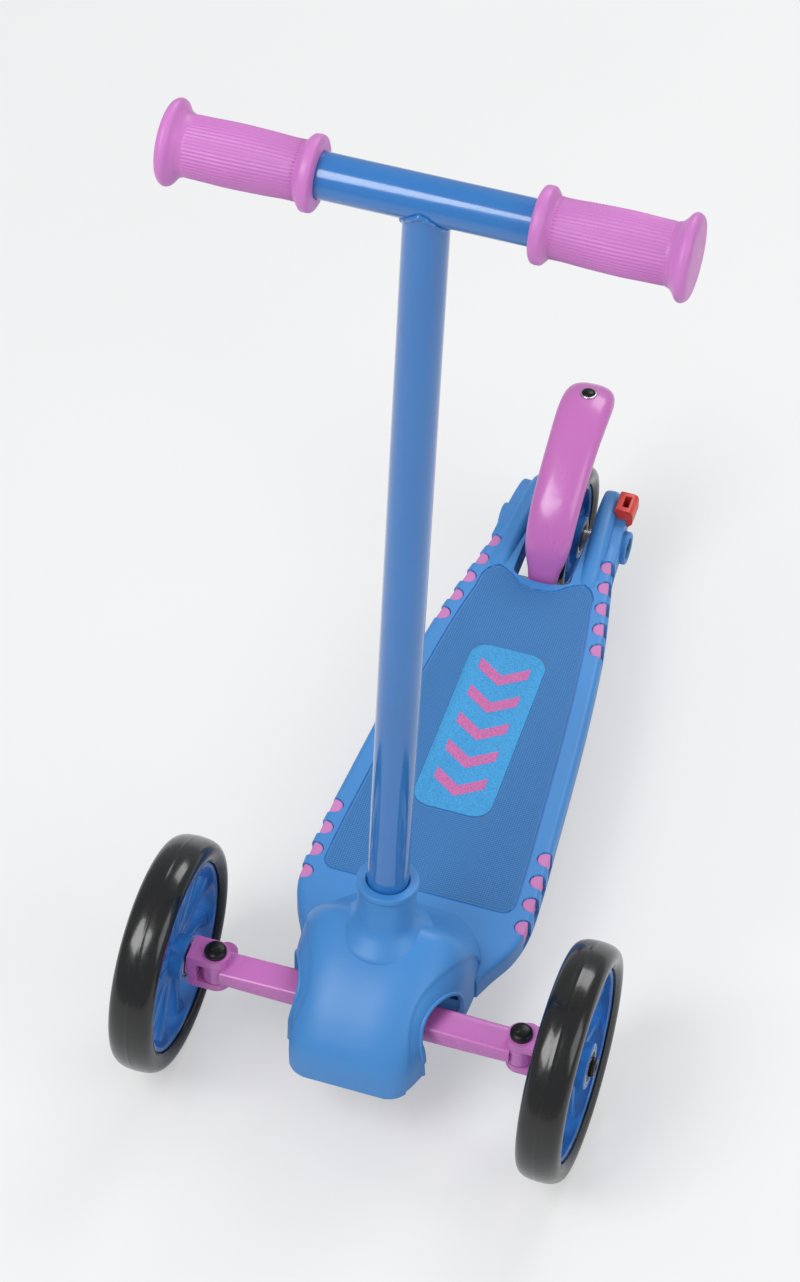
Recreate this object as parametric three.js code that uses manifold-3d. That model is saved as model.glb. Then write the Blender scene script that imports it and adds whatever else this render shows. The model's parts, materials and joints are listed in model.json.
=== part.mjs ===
// Three wheel kids scooter that steers by leaning, standing on its wheels. Millimetres.
// +X is the rider's left, the front looks along -Y, +Z is up and the floor is z = 0.
// Places along the scooter are given as distances ahead of the rear axle, so y = -ahead.
import * as THREE from 'three';
import { mergeVertices } from 'three/addons/utils/BufferGeometryUtils.js';
import Module from 'manifold-3d';

// Fits and clearances
const seatGap = 0.3; // between pieces that rest on each other
const runGap = 0.5; // between pieces that move past each other
const overrun = 2; // how far a cutter runs past the face that it cuts
const weldDistance = 0.0005; // vertices closer than this are one

// Running gear
const wheelbase = 430;
const frontWheelRadius = 75;
const frontTyreWidth = 28;
const frontTyreDepth = 14;
const frontTrack = 258; // between the middles of the front tyres
const rearWheelRadius = 50;
const rearTyreWidth = 24;
const rearTyreDepth = 13;
const wheelSegments = 24;
const roundSegments = 12;
const arcSteps = 3; // of a quarter or half turn in an outline
const frontSpokes = 12;
const rearSpokes = 10;
const hubRadius = 14.5;
const hubWidth = 26;
const rimBandDepth = 3.5;
const spokeWidth = 5;
const spokeThickness = 9;
const bearingRadius = 11;
const bearingWidth = 7;
const axleRadius = 4;
const headRadius = 7;
const headHeight = 4.5;
const wheelHeadHeight = 3;

// Deck
const deckTop = 68;
const deckThickness = 20;
const deckWidth = 151;
const platformRear = 12;
const deckSetback = 26; // of the deck's front end behind the front axle
const deckEdgeRound = 4;
const deckWall = 4;
const deckSkin = 5;
const neckLength = 17;
const neckInset = 3; // of the deck's neck inside the nose cover
const slotHalfWidth = 20;
const slotFront = 63;
const slotRound = 7;
const ribThickness = 3;
const ribRows = 5;
const ribColumns = 3;

// Grooved panel on top of the deck
const panelInset = 13;
const panelDip = 70;
const panelLobe = 13;
const panelCorner = 8;
const panelFrontMargin = 55; // from the platform's front
const grooveWidth = 1.6;
const grooveDepth = 1.4;

// Grit patch
const patchLength = 140;
const patchWidth = 52;
const patchCentre = 196; // ahead of the rear axle
const patchThickness = 0.6;
const patchCorner = 12;

// Side pads
const padPitch = 18.3;
const padWidth = 11;
const padDepth = 9.5;
const padHeight = 15;
const padRecess = 2; // how far the deck's fins stand proud of the pads
const padDrop = 0.8; // how far the pads lie below the deck's top
const padSpineDepth = 4;
const padSpineHeight = 5;
const rearPadCentre = 71;
const frontPadSetback = 76; // from the platform's front
const rearPadCount = 5;
const frontPadCount = 4;

// Fork arms round the rear wheel
const armTipBehind = 37;
const armLength = 97;
const armHeight = 38;
const armBottom = 36;
const armWidth = 21;
const armRound = 4.5;
const armRidgeWidth = 14; // of its high inner part
const armWebDrop = 6; // of its outer web inside the high part's outline
const armSplay = 5; // degrees that an arm turns outwards
const bossRadius = 11.5;
const bossReach = 45.5; // from the middle plane to the boss's end
const bossRecess = 6;

// Fender that is the foot brake, and its hinge
const hingeAhead = 55.5;
const hingeAbove = 8; // above the rear axle
const hingePinRadius = 2.5;
const hingeBarrelRadius = 4.2;
const hingeBarrelWidth = 20;
const fenderWidth = 36;
const fenderWall = 3;
const fenderDrop = 9;
const fenderHeight = 93; // of its crown above the rear axle
const fenderReach = 68; // of its tip behind the rear axle
const fenderHem = 3; // of its foot ahead of the hinge pin
const brakeTravel = 15; // degrees
const brakePadWidth = 15;
const brakePlateThickness = 2.5;
const wearGap = 1.2; // between its wear face and the tyre at the end of the travel
const rivetRadius = 4.8;
const rivetDome = 1.8;
const rivetShankRadius = 2.5;
const rivetPathShare = 0.85; // share of the fender's length where the rivet sits
const springWire = 1.2;
const springGap = 0.5; // between its turns
const springTurns = 3;
const wireSides = 5;
const springLeg = 4;

// Clip on the end of the left arm
const clipAhead = -17;
const clipLength = 17;
const clipWidth = 13;
const clipWall = 3;
const clipDrop = 15;
const clipWindow = 5;

// Nose cover with the stem socket
const noseLap = 44; // of the cover over the platform
const noseOverhang = 47; // ahead of the front axle
const noseWidth = 114;
const noseHeight = 118; // top of the cover above the floor
const noseBottom = 53;
const noseWall = 4;
const archWidth = 45;
const archTop = 96;
const shoulderLength = 100; // of the arched step in the cover's sides
const shoulderTop = 107;
const shoulderSetback = 10; // of its middle behind the front axle
const shoulderDepth = 1.5;
const shoulderInside = 30; // from the middle plane
const bulkheadOffset = 19; // ahead of the front axle
const bulkheadThickness = 6;
const bulkheadDrop = 13; // of its lower edge below the lean bolt
const seatHeight = 97; // underside of the seats for the centring blocks

// Stem and handle
const stemLean = 8; // degrees that the stem leans back
const stemFootSetback = 32; // of the stem's foot behind the front axle
const stemFootHeight = 88;
const barHeight = 650; // middle of the cross tube above the floor
const tubeRadius = 12.7;
const tubeWall = 1.6;
const barLength = 276;
const collarRadius = 18;
const collarTop = 66; // above the stem's foot, along the stem
const socketRadius = 17;
const socketFloor = 3;
const skirtRadius = 30;
const skirtFoot = 20;
const skirtHeight = 16;
const gripLength = 85;
const gripRadius = 16.8;
const gripEndRadius = 23.5;
const gripFlangeRadius = 20.8;
const gripEndWall = 5;
const tubeSegments = 16;
const stemPlugHeight = 14;

// Quick release in the collar's rear
const pinAbove = 48; // above the stem's foot, along the stem
const lockPinRadius = 3.6;
const lockPinReach = 2.9; // past the stem's outside
const buttonHeadRadius = 6.6;
const buttonHeadHeight = 3.6;
const buttonBossRadius = 9.6;
const buttonBossReach = 24;
const buttonRecess = 1.5; // of the floor under the button's head outside the collar
const snapSpringThickness = 1;
const snapSpringWidth = 8;
const snapSpringFoot = 21;
const snapSpringReach = 8.6; // of its legs from the stem's axis

// Lean-to-steer linkage
const leanBoltRadius = 4;
const leanHeadRadius = 6.3;
const leanLugRadius = 7.4;
const leanLugThickness = 12;
const tongueThickness = 6;
const beamThickness = 20;
const beamHeight = 15;
const beamRound = 2;
const beamBossRadius = 10;
const kingPinInset = 31; // from the middle of a front tyre
const kingPinRadius = 3;
const kingEyeRadius = 9;
const kingEyeHeight = 16;
const earThickness = 6;
const steerArmLength = 18;
const tieRodDrop = 22.5; // of the tie rod below the lean bolt
const tieRodThickness = 5;
const tieRodWidth = 8;
const tieRodEyeRadius = 7;
const drivePinRadius = 2.5;
const drivePlay = 0.9; // round the pins that the tie rod swings on
const knuckleWall = 6;
const stubBossRadius = 9;
const pegBossRadius = 5;
const pegOverhang = 2;
const blockRadius = 7;
const blockAcross = 28; // of each centring block from the middle plane

// Places that follow
const deckBottom = deckTop - deckThickness;
const deckFront = wheelbase - deckSetback;
const platformFront = deckFront - neckLength;
const panelFront = platformFront - panelFrontMargin;
const frontPadCentre = platformFront - frontPadSetback;
const noseRear = platformFront - noseLap;
const noseFront = wheelbase + noseOverhang;
const bulkheadAhead = wheelbase + bulkheadOffset;
const stemFootAhead = wheelbase - stemFootSetback;
const neckHalfWidth = noseWidth / 2 - noseWall - neckInset;
const tongueTop = frontWheelRadius - beamBossRadius - 2 * runGap;
const kingPinX = frontTrack / 2 - kingPinInset;
const halfTrack = frontTrack / 2;
const tieRodZ = frontWheelRadius - tieRodDrop;
const tieRodAhead = wheelbase - steerArmLength;

// Colours
const blue = new THREE.MeshStandardMaterial({ color: 0x4a8fcd, roughness: 0.45 });
const deepBlue = new THREE.MeshStandardMaterial({ color: 0x2868aa, roughness: 0.45 });
const paint = new THREE.MeshStandardMaterial({ color: 0x3273b4, roughness: 0.3 });
const magenta = new THREE.MeshStandardMaterial({ color: 0xc878be, roughness: 0.4 });
const rubber = new THREE.MeshStandardMaterial({ color: 0x111112, roughness: 0.5 });
const red = new THREE.MeshStandardMaterial({ color: 0xd73c2d, roughness: 0.4 });
const patchBlue = new THREE.MeshStandardMaterial({ color: 0x32a0e1, roughness: 0.9 });
const steel = new THREE.MeshStandardMaterial({ color: 0xb0b2b5, roughness: 0.35, metalness: 1 });
const black = new THREE.MeshStandardMaterial({ color: 0x141416, roughness: 0.4, metalness: 0.3 });

const wasm = await Module();
wasm.setup();

// Solids, joined and cut

// Merges the vertices of a geometry and drops the faces that have no area.
function weld(geometry) {
  const bare = geometry.clone();
  bare.deleteAttribute('normal');
  bare.deleteAttribute('uv');
  const merged = mergeVertices(bare, weldDistance);
  const faces = [];
  for (let i = 0; i < merged.index.count; i += 3) {
    const [a, b, c] = [0, 1, 2].map((corner) => merged.index.getX(i + corner));
    if (a !== b && b !== c && c !== a) faces.push(a, b, c);
  }
  merged.setIndex(faces);
  return merged;
}

function toSolid(geometry) {
  const merged = weld(geometry);
  return new wasm.Manifold(new wasm.Mesh({
    numProp: 3,
    vertProperties: new Float32Array(merged.attributes.position.array),
    triVerts: new Uint32Array(merged.index.array),
  }));
}

function toGeometry(solid) {
  const { vertProperties, triVerts } = solid.getMesh();
  const geometry = new THREE.BufferGeometry();
  geometry.setAttribute('position', new THREE.BufferAttribute(vertProperties, 3));
  geometry.setIndex(new THREE.BufferAttribute(triVerts, 1));
  return geometry;
}

function join(first, ...others) {
  return others.reduce((sum, next) => sum.add(toSolid(next)), toSolid(first));
}

function cut(solid, ...cutters) {
  return cutters.reduce((rest, cutter) => rest.subtract(toSolid(cutter)), solid);
}

// Adds a piece to a body as a named mesh.
function addPiece(body, name, shape, material) {
  const geometry = shape.isBufferGeometry ? weld(shape) : toGeometry(shape);
  const flat = geometry.toNonIndexed();
  flat.computeVertexNormals();
  const mesh = new THREE.Mesh(flat, material);
  mesh.name = name;
  body.add(mesh);
  return mesh;
}

// Basic forms

// A box given by its lowest and highest corner.
function block(low, high) {
  const size = high.map((value, axis) => value - low[axis]);
  const middle = high.map((value, axis) => (value + low[axis]) / 2);
  return new THREE.BoxGeometry(...size).translate(...middle);
}

// Turns a form that was made along Z, with its outline in X and Y, to run along X.
// The outline's first coordinate then counts ahead of the rear axle and its second upwards.
function turnToX(geometry) {
  const basis = new THREE.Matrix4().makeBasis(
    new THREE.Vector3(0, -1, 0), new THREE.Vector3(0, 0, 1), new THREE.Vector3(-1, 0, 0));
  return geometry.applyMatrix4(basis);
}

// Turns a form that was made along Z to run along -Y, with its outline in X and Z.
function turnToY(geometry) {
  return geometry.rotateX(Math.PI / 2);
}

// Makes a solid of a flat outline along Z, centred on z = 0, with rounded or chamfered rims.
function extrude(outline, depth, round = 0, rimSteps = 2) {
  const shape = outline instanceof THREE.Shape ? outline : new THREE.Shape(outline);
  const options = { depth: depth - 2 * round, curveSegments: arcSteps, bevelEnabled: round > 0,
    bevelThickness: round, bevelSize: round, bevelOffset: -round, bevelSegments: rimSteps };
  return new THREE.ExtrudeGeometry(shape, options).translate(0, 0, round - depth / 2);
}

// A cylinder along X, Y or Z from one place on that axis to another, with a flat at its foot.
function rod(axis, radius, from, to, segments = roundSegments) {
  const length = Math.abs(to - from);
  const geometry = new THREE.CylinderGeometry(radius, radius, length, segments);
  geometry.rotateY(Math.PI / segments).translate(0, (from + to) / 2, 0);
  if (axis === 'x') geometry.rotateZ(-Math.PI / 2);
  if (axis === 'z') geometry.rotateX(Math.PI / 2);
  return geometry;
}

// A revolved form round X, Y or Z from a profile of [radius, place along the axis].
function revolve(axis, profile, segments = roundSegments) {
  const points = profile.map(([radius, along]) => new THREE.Vector2(radius, along));
  const geometry = new THREE.LatheGeometry(points, segments);
  geometry.rotateY(Math.PI / segments);
  if (axis === 'x') geometry.rotateZ(-Math.PI / 2);
  if (axis === 'z') geometry.rotateX(Math.PI / 2);
  return turnFacesOutwards(weld(geometry));
}

// The faces that close one end of a loft, running with the section's points or against them.
function capFaces(outline, first, withOutline) {
  const way = Math.sign(THREE.ShapeUtils.area(outline));
  return THREE.ShapeUtils.triangulateShape(outline, []).flatMap(([a, b, c]) => {
    const faceWay = Math.sign(THREE.ShapeUtils.area([outline[a], outline[b], outline[c]]));
    const face = (faceWay === way) === withOutline ? [a, b, c] : [a, c, b];
    return face.map((corner) => corner + first);
  });
}

function turnFacesOutwards(geometry) {
  const point = (corner) => new THREE.Vector3().fromBufferAttribute(
    geometry.attributes.position, geometry.index.getX(corner));
  let volume = 0;
  for (let i = 0; i < geometry.index.count; i += 3) {
    volume += point(i).dot(point(i + 1).cross(point(i + 2)));
  }
  if (volume < 0) geometry.setIndex(Array.from(geometry.index.array).reverse());
  return geometry;
}

// A closed skin over sections, each an outline with one count of points and a way to place them.
function loft(sections) {
  const count = sections[0].outline.length;
  const places = sections.flatMap(({ outline, place }) => outline.map(place));
  const faces = [];
  for (let section = 0; section + 1 < sections.length; section += 1) {
    for (let i = 0; i < count; i += 1) {
      const a = section * count + i;
      const b = section * count + ((i + 1) % count);
      faces.push(a, b, a + count, b, b + count, a + count);
    }
  }
  const last = sections.length - 1;
  faces.push(...capFaces(sections[0].outline, 0, false));
  faces.push(...capFaces(sections[last].outline, last * count, true));
  const geometry = new THREE.BufferGeometry().setFromPoints(places);
  geometry.setIndex(faces);
  return turnFacesOutwards(geometry);
}

// Moves the points of a closed outline outwards, or inwards by a negative distance.
function offsetOutline(points, distance) {
  const sign = THREE.ShapeUtils.isClockWise(points) ? -1 : 1;
  return points.map((point, i) => {
    const before = points[(i + points.length - 1) % points.length];
    const after = points[(i + 1) % points.length];
    const along = after.clone().sub(before).normalize();
    return new THREE.Vector2(point.x + sign * along.y * distance, point.y - sign * along.x * distance);
  });
}

const vector = (x, y) => new THREE.Vector2(x, y);

// A smooth open line through places given as shares, first of a length and then of a breadth.
function smoothLine(shares, origin, length, breadth, count) {
  const knots = shares.map(([along, across]) => vector(origin + along * length, across * breadth));
  return new THREE.SplineCurve(knots).getSpacedPoints(count);
}

// Deck

// How far along the platform and how wide, as shares of its length and of its half-width.
const platformShares = [[0, 0.545], [0.05, 0.57], [0.13, 0.65], [0.264, 0.77], [0.45, 0.87], [0.66, 0.95],
  [0.78, 0.992], [0.86, 1], [0.917, 0.945], [0.965, 0.83], [1, 0.755]];
const platformSteps = 15;

// The deck's left edge as points (half-width, distance ahead).
const platformEdge = smoothLine(platformShares, platformRear, platformFront - platformRear,
  deckWidth / 2, platformSteps).map((point) => vector(point.y, point.x));

function mirrored(points) {
  return points.map((point) => vector(-point.x, point.y)).reverse();
}

// Makes a flat outline of (across, ahead) into a plate between two heights.
function plate(outline, bottom, top, round = 0) {
  const flat = extrude(outline, top - bottom, round).translate(0, 0, (top + bottom) / 2);
  return turnFacesOutwards(weld(flat.scale(1, -1, 1)));
}

// The same form on the rider's left for a side of 1, and on the right for a side of -1.
function onSide(side, geometry) {
  return side > 0 ? geometry : turnFacesOutwards(weld(geometry).scale(-1, 1, 1));
}

function halfWidthAt(ahead) {
  const next = platformEdge.findIndex((point) => point.y >= ahead);
  const [a, b] = [platformEdge[next - 1], platformEdge[next]];
  return THREE.MathUtils.mapLinear(ahead, a.y, b.y, a.x, b.x);
}

function deckPlate() {
  const left = [...platformEdge, vector(neckHalfWidth, platformFront), vector(neckHalfWidth, deckFront)];
  return plate([...left, ...mirrored(left)], deckBottom, deckTop, deckEdgeRound);
}

// The U that the rear wheel turns in, wider all round by a growth.
function slotForm(growth) {
  const half = slotHalfWidth + growth;
  const shape = new THREE.Shape();
  shape.moveTo(-half, -armTipBehind - overrun);
  shape.lineTo(-half, slotFront - slotRound);
  shape.absellipse(0, slotFront - slotRound, half, slotRound + growth, Math.PI, 0, true);
  shape.lineTo(half, -armTipBehind - overrun);
  return plate(shape, armBottom - overrun, armBottom + armHeight + overrun);
}

// An arm seen from the side, as shares of its length from the tip and of its height.
const armShares = [[0, 0.6], [0.03, 0.8], [0.12, 0.93], [0.3, 1], [0.55, 0.99], [0.8, 0.92], [1, 0.82],
  [1, 0.37], [0.72, 0.26], [0.55, 0.1], [0.38, 0], [0.2, 0.07], [0.07, 0.3]];

// An arm is a high rounded ridge beside the wheel, with a lower web along its outside.
function arm(side, growth = 0) {
  const outline = armShares.map(([along, up]) =>
    vector(along * armLength - armTipBehind, armBottom + up * armHeight));
  const ridge = turnToX(extrude(offsetOutline(outline, growth), armRidgeWidth + 2 * growth,
    growth > 0 ? 0 : armRound)).translate(armRidgeWidth / 2, 0, 0);
  const webWidth = armWidth - armRidgeWidth / 2;
  const web = turnToX(extrude(offsetOutline(outline, growth - armWebDrop), webWidth + growth));
  web.translate(armRidgeWidth / 2 + (webWidth + growth) / 2, 0, 0);
  const form = toGeometry(join(ridge, web)).translate(-armWidth / 2, 0, 0);
  form.rotateZ(THREE.MathUtils.degToRad(armSplay));
  return onSide(side, form.translate(slotHalfWidth + armWidth / 2, 0, 0));
}

function axleBoss(side) {
  const form = rod('x', bossRadius, slotHalfWidth + armWidth / 2, bossReach);
  return onSide(side, form.translate(0, 0, rearWheelRadius));
}

function bossPocket(side) {
  const form = rod('x', headRadius + runGap, bossReach - bossRecess, bossReach + overrun);
  return onSide(side, form.translate(0, 0, rearWheelRadius));
}

// The front lug that the lean bolt passes through, with a rounded top.
function leanLug() {
  const shape = new THREE.Shape();
  shape.moveTo(-leanLugRadius, deckTop - overrun);
  shape.lineTo(-leanLugRadius, frontWheelRadius);
  shape.absarc(0, frontWheelRadius, leanLugRadius, Math.PI, 0, true);
  shape.lineTo(leanLugRadius, deckTop - overrun);
  return turnToY(extrude(shape, leanLugThickness)).translate(0, leanLugThickness / 2 - deckFront, 0);
}

// The tongue under the lean bolt that holds the drive pin.
function driveTongue() {
  return block([-tieRodEyeRadius, -(tieRodAhead + tieRodEyeRadius), tongueTop - tongueThickness],
    [tieRodEyeRadius, overrun - deckFront, tongueTop]);
}

// One row of pads on a spine, in the deck's side. Grown, it is the room that it needs.
function padRow(side, centre, count, growth, outside, top) {
  const half = padWidth / 2 + growth;
  const shape = new THREE.Shape();
  shape.moveTo(outside, -half);
  shape.lineTo(half - padDepth - growth, -half);
  shape.absarc(half - padDepth - growth, 0, half, -Math.PI / 2, Math.PI / 2, true);
  shape.lineTo(outside, half);
  const bottom = deckTop - padHeight - growth;
  const reach = (padPitch * (count - 1)) / 2;
  const spine = block([-padRecess - padSpineDepth - growth, -reach - padWidth / 2 - growth, bottom],
    [growth - padRecess, reach + padWidth / 2 + growth, bottom + padSpineHeight + 2 * growth]);
  const pads = Array.from({ length: count }, (_, i) =>
    plate(shape, bottom, top).translate(0, i * padPitch - reach, 0));
  const row = toGeometry(join(spine, ...pads));
  const slope = halfWidthAt(centre + reach) - halfWidthAt(centre - reach);
  row.rotateZ(Math.atan2(slope, 2 * reach)).translate(halfWidthAt(centre), -centre, 0);
  return onSide(side, row);
}

const padRows = [
  { name: 'side_pads_rear_left', side: 1, centre: rearPadCentre, count: rearPadCount },
  { name: 'side_pads_rear_right', side: -1, centre: rearPadCentre, count: rearPadCount },
  { name: 'side_pads_front_left', side: 1, centre: frontPadCentre, count: frontPadCount },
  { name: 'side_pads_front_right', side: -1, centre: frontPadCentre, count: frontPadCount },
];

function padRoom({ side, centre, count }) {
  return padRow(side, centre, count, seatGap, padDepth, armBottom + armHeight + overrun);
}

// The straight wall of the deck behind a row of pads.
function padWall({ side, centre, count }) {
  const reach = (padPitch * (count - 1)) / 2;
  const end = reach + padWidth / 2 + deckWall;
  const wall = block([-padDepth - deckWall, -end, deckBottom - overrun], [padDepth, end, deckTop]);
  const slope = halfWidthAt(centre + reach) - halfWidthAt(centre - reach);
  wall.rotateZ(Math.atan2(slope, 2 * reach)).translate(halfWidthAt(centre), -centre, 0);
  return onSide(side, wall);
}

// The rear edge of the panel, as shares of the slot's half-width and of the lobe.
const panelShares = [[0, 0], [0.6, 0.2], [1, 0.7], [1.4, 1], [1.75, 0.8], [1.93, 0.25]];

function panelOutline() {
  const knots = panelShares.map(([across, back]) =>
    vector(across * slotHalfWidth, panelDip - back * panelLobe));
  const rear = new THREE.SplineCurve(knots).getSpacedPoints(8);
  const end = halfWidthAt(panelFront) - panelInset;
  const sides = platformEdge
    .filter((point) => point.y > panelDip + panelCorner && point.y < panelFront - panelCorner)
    .map((point) => vector(point.x - panelInset, point.y));
  const corner = new THREE.QuadraticBezierCurve(
    vector(end, panelFront - panelCorner), vector(end, panelFront), vector(end - panelCorner, panelFront));
  const left = [...rear.slice(1), ...sides, ...corner.getPoints(3)];
  return [rear[0], ...left, ...mirrored(left)];
}

function panelGroove() {
  const shape = new THREE.Shape(offsetOutline(panelOutline(), grooveWidth / 2));
  shape.holes.push(new THREE.Path(offsetOutline(panelOutline(), -grooveWidth / 2)));
  return plate(shape, deckTop - grooveDepth, deckTop + overrun);
}

// The ribbed hollows under the platform.
function underPockets() {
  const edge = offsetOutline([...platformEdge, ...mirrored(platformEdge)], -deckWall);
  const roof = deckTop - deckSkin;
  const rear = slotFront + deckWall;
  const front = platformFront - deckWall;
  const rowLength = (front - rear) / ribRows;
  const columnWidth = deckWidth / ribColumns;
  const wide = (from, to) => block([-deckWidth, -to, deckBottom - 2 * overrun], [deckWidth, -from, deckTop]);
  const long = (from, to) => block([from, -front, deckBottom - 2 * overrun], [to, -rear, deckTop]);
  const ribs = [];
  for (let row = 1; row < ribRows; row += 1) {
    const middle = rear + row * rowLength;
    ribs.push(wide(middle - ribThickness / 2, middle + ribThickness / 2));
  }
  for (let column = 1; column < ribColumns; column += 1) {
    const middle = column * columnWidth - deckWidth / 2;
    ribs.push(long(middle - ribThickness / 2, middle + ribThickness / 2));
  }
  const walls = padRows.map(padWall);
  const inside = toSolid(plate(edge, deckBottom - overrun, roof)).intersect(toSolid(wide(rear, front)));
  return cut(inside, ...ribs, ...walls);
}

function deckSolid() {
  const body = join(deckPlate(), arm(1), arm(-1), axleBoss(1), axleBoss(-1), leanLug(), driveTongue());
  const axleHole = rod('x', axleRadius + seatGap, -bossReach - overrun, bossReach + overrun)
    .translate(0, 0, rearWheelRadius);
  const hingeReach = slotHalfWidth + hingeBarrelRadius + seatGap;
  const hingeHole = rod('x', hingePinRadius + seatGap, -hingeReach, hingeReach)
    .translate(0, -hingeAhead, rearWheelRadius + hingeAbove);
  const leanHole = rod('y', leanBoltRadius + seatGap, -deckFront - overrun, -platformFront)
    .translate(0, 0, frontWheelRadius);
  const driveHole = rod('z', drivePinRadius + seatGap, deckBottom, tongueTop - overrun)
    .translate(0, -tieRodAhead, 0);
  return cut(body, slotForm(0), axleHole, bossPocket(1), bossPocket(-1), hingeHole, leanHole, driveHole,
    panelGroove(), ...padRows.map(padRoom)).subtract(underPockets());
}

function gritPatch() {
  const half = patchWidth / 2;
  const shape = new THREE.Shape();
  const from = patchCentre - patchLength / 2;
  const to = patchCentre + patchLength / 2;
  shape.moveTo(half, from + patchCorner);
  shape.absarc(half - patchCorner, to - patchCorner, patchCorner, 0, Math.PI / 2, false);
  shape.absarc(patchCorner - half, to - patchCorner, patchCorner, Math.PI / 2, Math.PI, false);
  shape.absarc(patchCorner - half, from + patchCorner, patchCorner, Math.PI, 1.5 * Math.PI, false);
  shape.absarc(half - patchCorner, from + patchCorner, patchCorner, 1.5 * Math.PI, 2 * Math.PI, false);
  return plate(shape, deckTop, deckTop + patchThickness);
}

// Wheels

// A tyre's section, as shares of its depth out from the rim and of its half-width.
const tyreShares = [[0, -0.78], [0.38, -1], [0.8, -0.84], [1, -0.3], [1, 0.3], [0.8, 0.84], [0.38, 1],
  [0, 0.78], [0, -0.78]];

// The flats of the tyre's facets lie on its true radius, so that one rests on the floor.
function tyre(radius, width, depth) {
  const flats = 1 / Math.cos(Math.PI / wheelSegments);
  return revolve('x', tyreShares.map(([out, across]) =>
    [(radius - depth + out * depth) * flats, (across * width) / 2]), wheelSegments);
}

// How wide a spoke is at the hub and at the rim, as shares of its named width.
const spokeWidthShares = [0.8, 1.25];

function spoke(from, to, angle) {
  const [inner, outer] = spokeWidthShares.map((share) => (share * spokeWidth) / 2);
  const outline = [vector(-inner, from), vector(inner, from), vector(outer, to), vector(-outer, to)];
  return turnToX(extrude(outline, spokeThickness)).rotateX(angle);
}

function rim(radius, width, count) {
  const inside = radius - rimBandDepth;
  const half = width / 2;
  const band = [[inside, -half], [radius, -half], [radius, half], [inside, half], [inside, -half]];
  const hub = rod('x', hubRadius, -hubWidth / 2, hubWidth / 2, tubeSegments);
  const spokes = Array.from({ length: count }, (_, i) =>
    spoke(bearingRadius, inside + rimBandDepth / 2, (i * 2 * Math.PI) / count));
  const pocket = hubWidth / 2 - bearingWidth - seatGap;
  const pocketRadius = bearingRadius + seatGap;
  return cut(join(revolve('x', band, wheelSegments), hub, ...spokes),
    rod('x', axleRadius + 2 * runGap, -hubWidth, hubWidth),
    rod('x', pocketRadius, pocket, hubWidth), rod('x', pocketRadius, -hubWidth, -pocket));
}

function ring(axis, inner, outer, from, to, segments = roundSegments) {
  return revolve(axis, [[inner, from], [outer, from], [outer, to], [inner, to], [inner, from]], segments);
}

// The share of a tyre's width that its rim takes up.
const rimWidthShare = 0.72;

function addWheel(body, name, radius, width, depth, spokes) {
  const bore = axleRadius + seatGap;
  const end = hubWidth / 2;
  addPiece(body, `${name}_tyre`, tyre(radius, width, depth), rubber);
  addPiece(body, `${name}_rim`, rim(radius - depth - seatGap, width * rimWidthShare, spokes), deepBlue);
  addPiece(body, `${name}_bearing_left`, ring('x', bore, bearingRadius, end - bearingWidth, end), steel);
  addPiece(body, `${name}_bearing_right`, ring('x', bore, bearingRadius, -end, bearingWidth - end), steel);
}

// A bolt with a six-sided head, its shank running from under the head to its far end.
function bolt(axis, radius, from, to, headSize, headDepth) {
  const way = Math.sign(from - to);
  return join(rod(axis, radius, from + (way * headDepth) / 2, to),
    rod(axis, headSize, from, from + way * headDepth, 6));
}

function nut(axis, bore, from, to) {
  return cut(toSolid(rod(axis, headRadius, from, to, 6)), rod(axis, bore, from - overrun, to + overrun));
}

// Fender and brake

// The fender's crown from its foot to its tip, as shares of its length and of its height.
const fenderShares = [[0, 0.1], [0.008, 0.215], [0.06, 0.45], [0.19, 0.67], [0.4, 0.85], [0.605, 0.962],
  [0.78, 1], [0.915, 0.962], [1, 0.86]];
// Its sections: share of the path, share of the half-width and share of the drop of its sides.
const fenderSectionShares = [[0, 0.55, 0.5], [0.06, 0.62, 0.7], [0.12, 0.78, 0.95], [0.2, 0.88, 1],
  [0.32, 0.92, 1], [0.47, 0.94, 1], [0.62, 0.96, 1], [0.76, 1, 1], [0.85, 0.99, 1], [0.91, 0.9, 0.95],
  [0.96, 0.72, 0.8], [1, 0.36, 0.55]];
const archSteps = 7;
const archSquareness = 0.75;

const fenderPath = new THREE.SplineCurve(fenderShares.map(([along, up]) => vector(
  hingeAhead + fenderHem - along * (hingeAhead + fenderHem + fenderReach), up * fenderHeight)));

// A place at a depth under the fender's crown, as (ahead, above the rear axle).
function underFender(share, depth) {
  const way = fenderPath.getTangentAt(share);
  const point = fenderPath.getPointAt(share);
  return vector(point.x - way.y * depth, point.y + way.x * depth);
}

function archOutline(half, drop) {
  const arc = (width, height) => Array.from({ length: archSteps + 1 }, (_, i) => {
    const turn = (Math.PI * i) / archSteps;
    const side = Math.cos(turn);
    return vector(Math.sign(side) * width * Math.abs(side) ** archSquareness,
      height * Math.max(Math.sin(turn), 0) ** archSquareness - drop);
  });
  return [...arc(half, drop), ...arc(half - fenderWall, drop - fenderWall).reverse()];
}

function fenderSolid() {
  const sections = fenderSectionShares.map(([share, widthShare, dropShare]) => ({
    outline: archOutline((widthShare * fenderWidth) / 2, dropShare * fenderDrop),
    place: (point) => {
      const spot = underFender(share, -point.y);
      return new THREE.Vector3(point.x, -spot.x, rearWheelRadius + spot.y);
    },
  }));
  const half = hingeBarrelWidth / 2;
  const hinge = (radius, reach) => rod('x', radius, -reach, reach)
    .translate(0, -hingeAhead, rearWheelRadius + hingeAbove);
  const rivetHole = rivetForm(rivetShankRadius + seatGap, rivetShankRadius + seatGap, overrun);
  return cut(join(loft(sections), hinge(hingeBarrelRadius, half)),
    hinge(hingePinRadius + seatGap, half + overrun), rivetHole);
}

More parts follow.
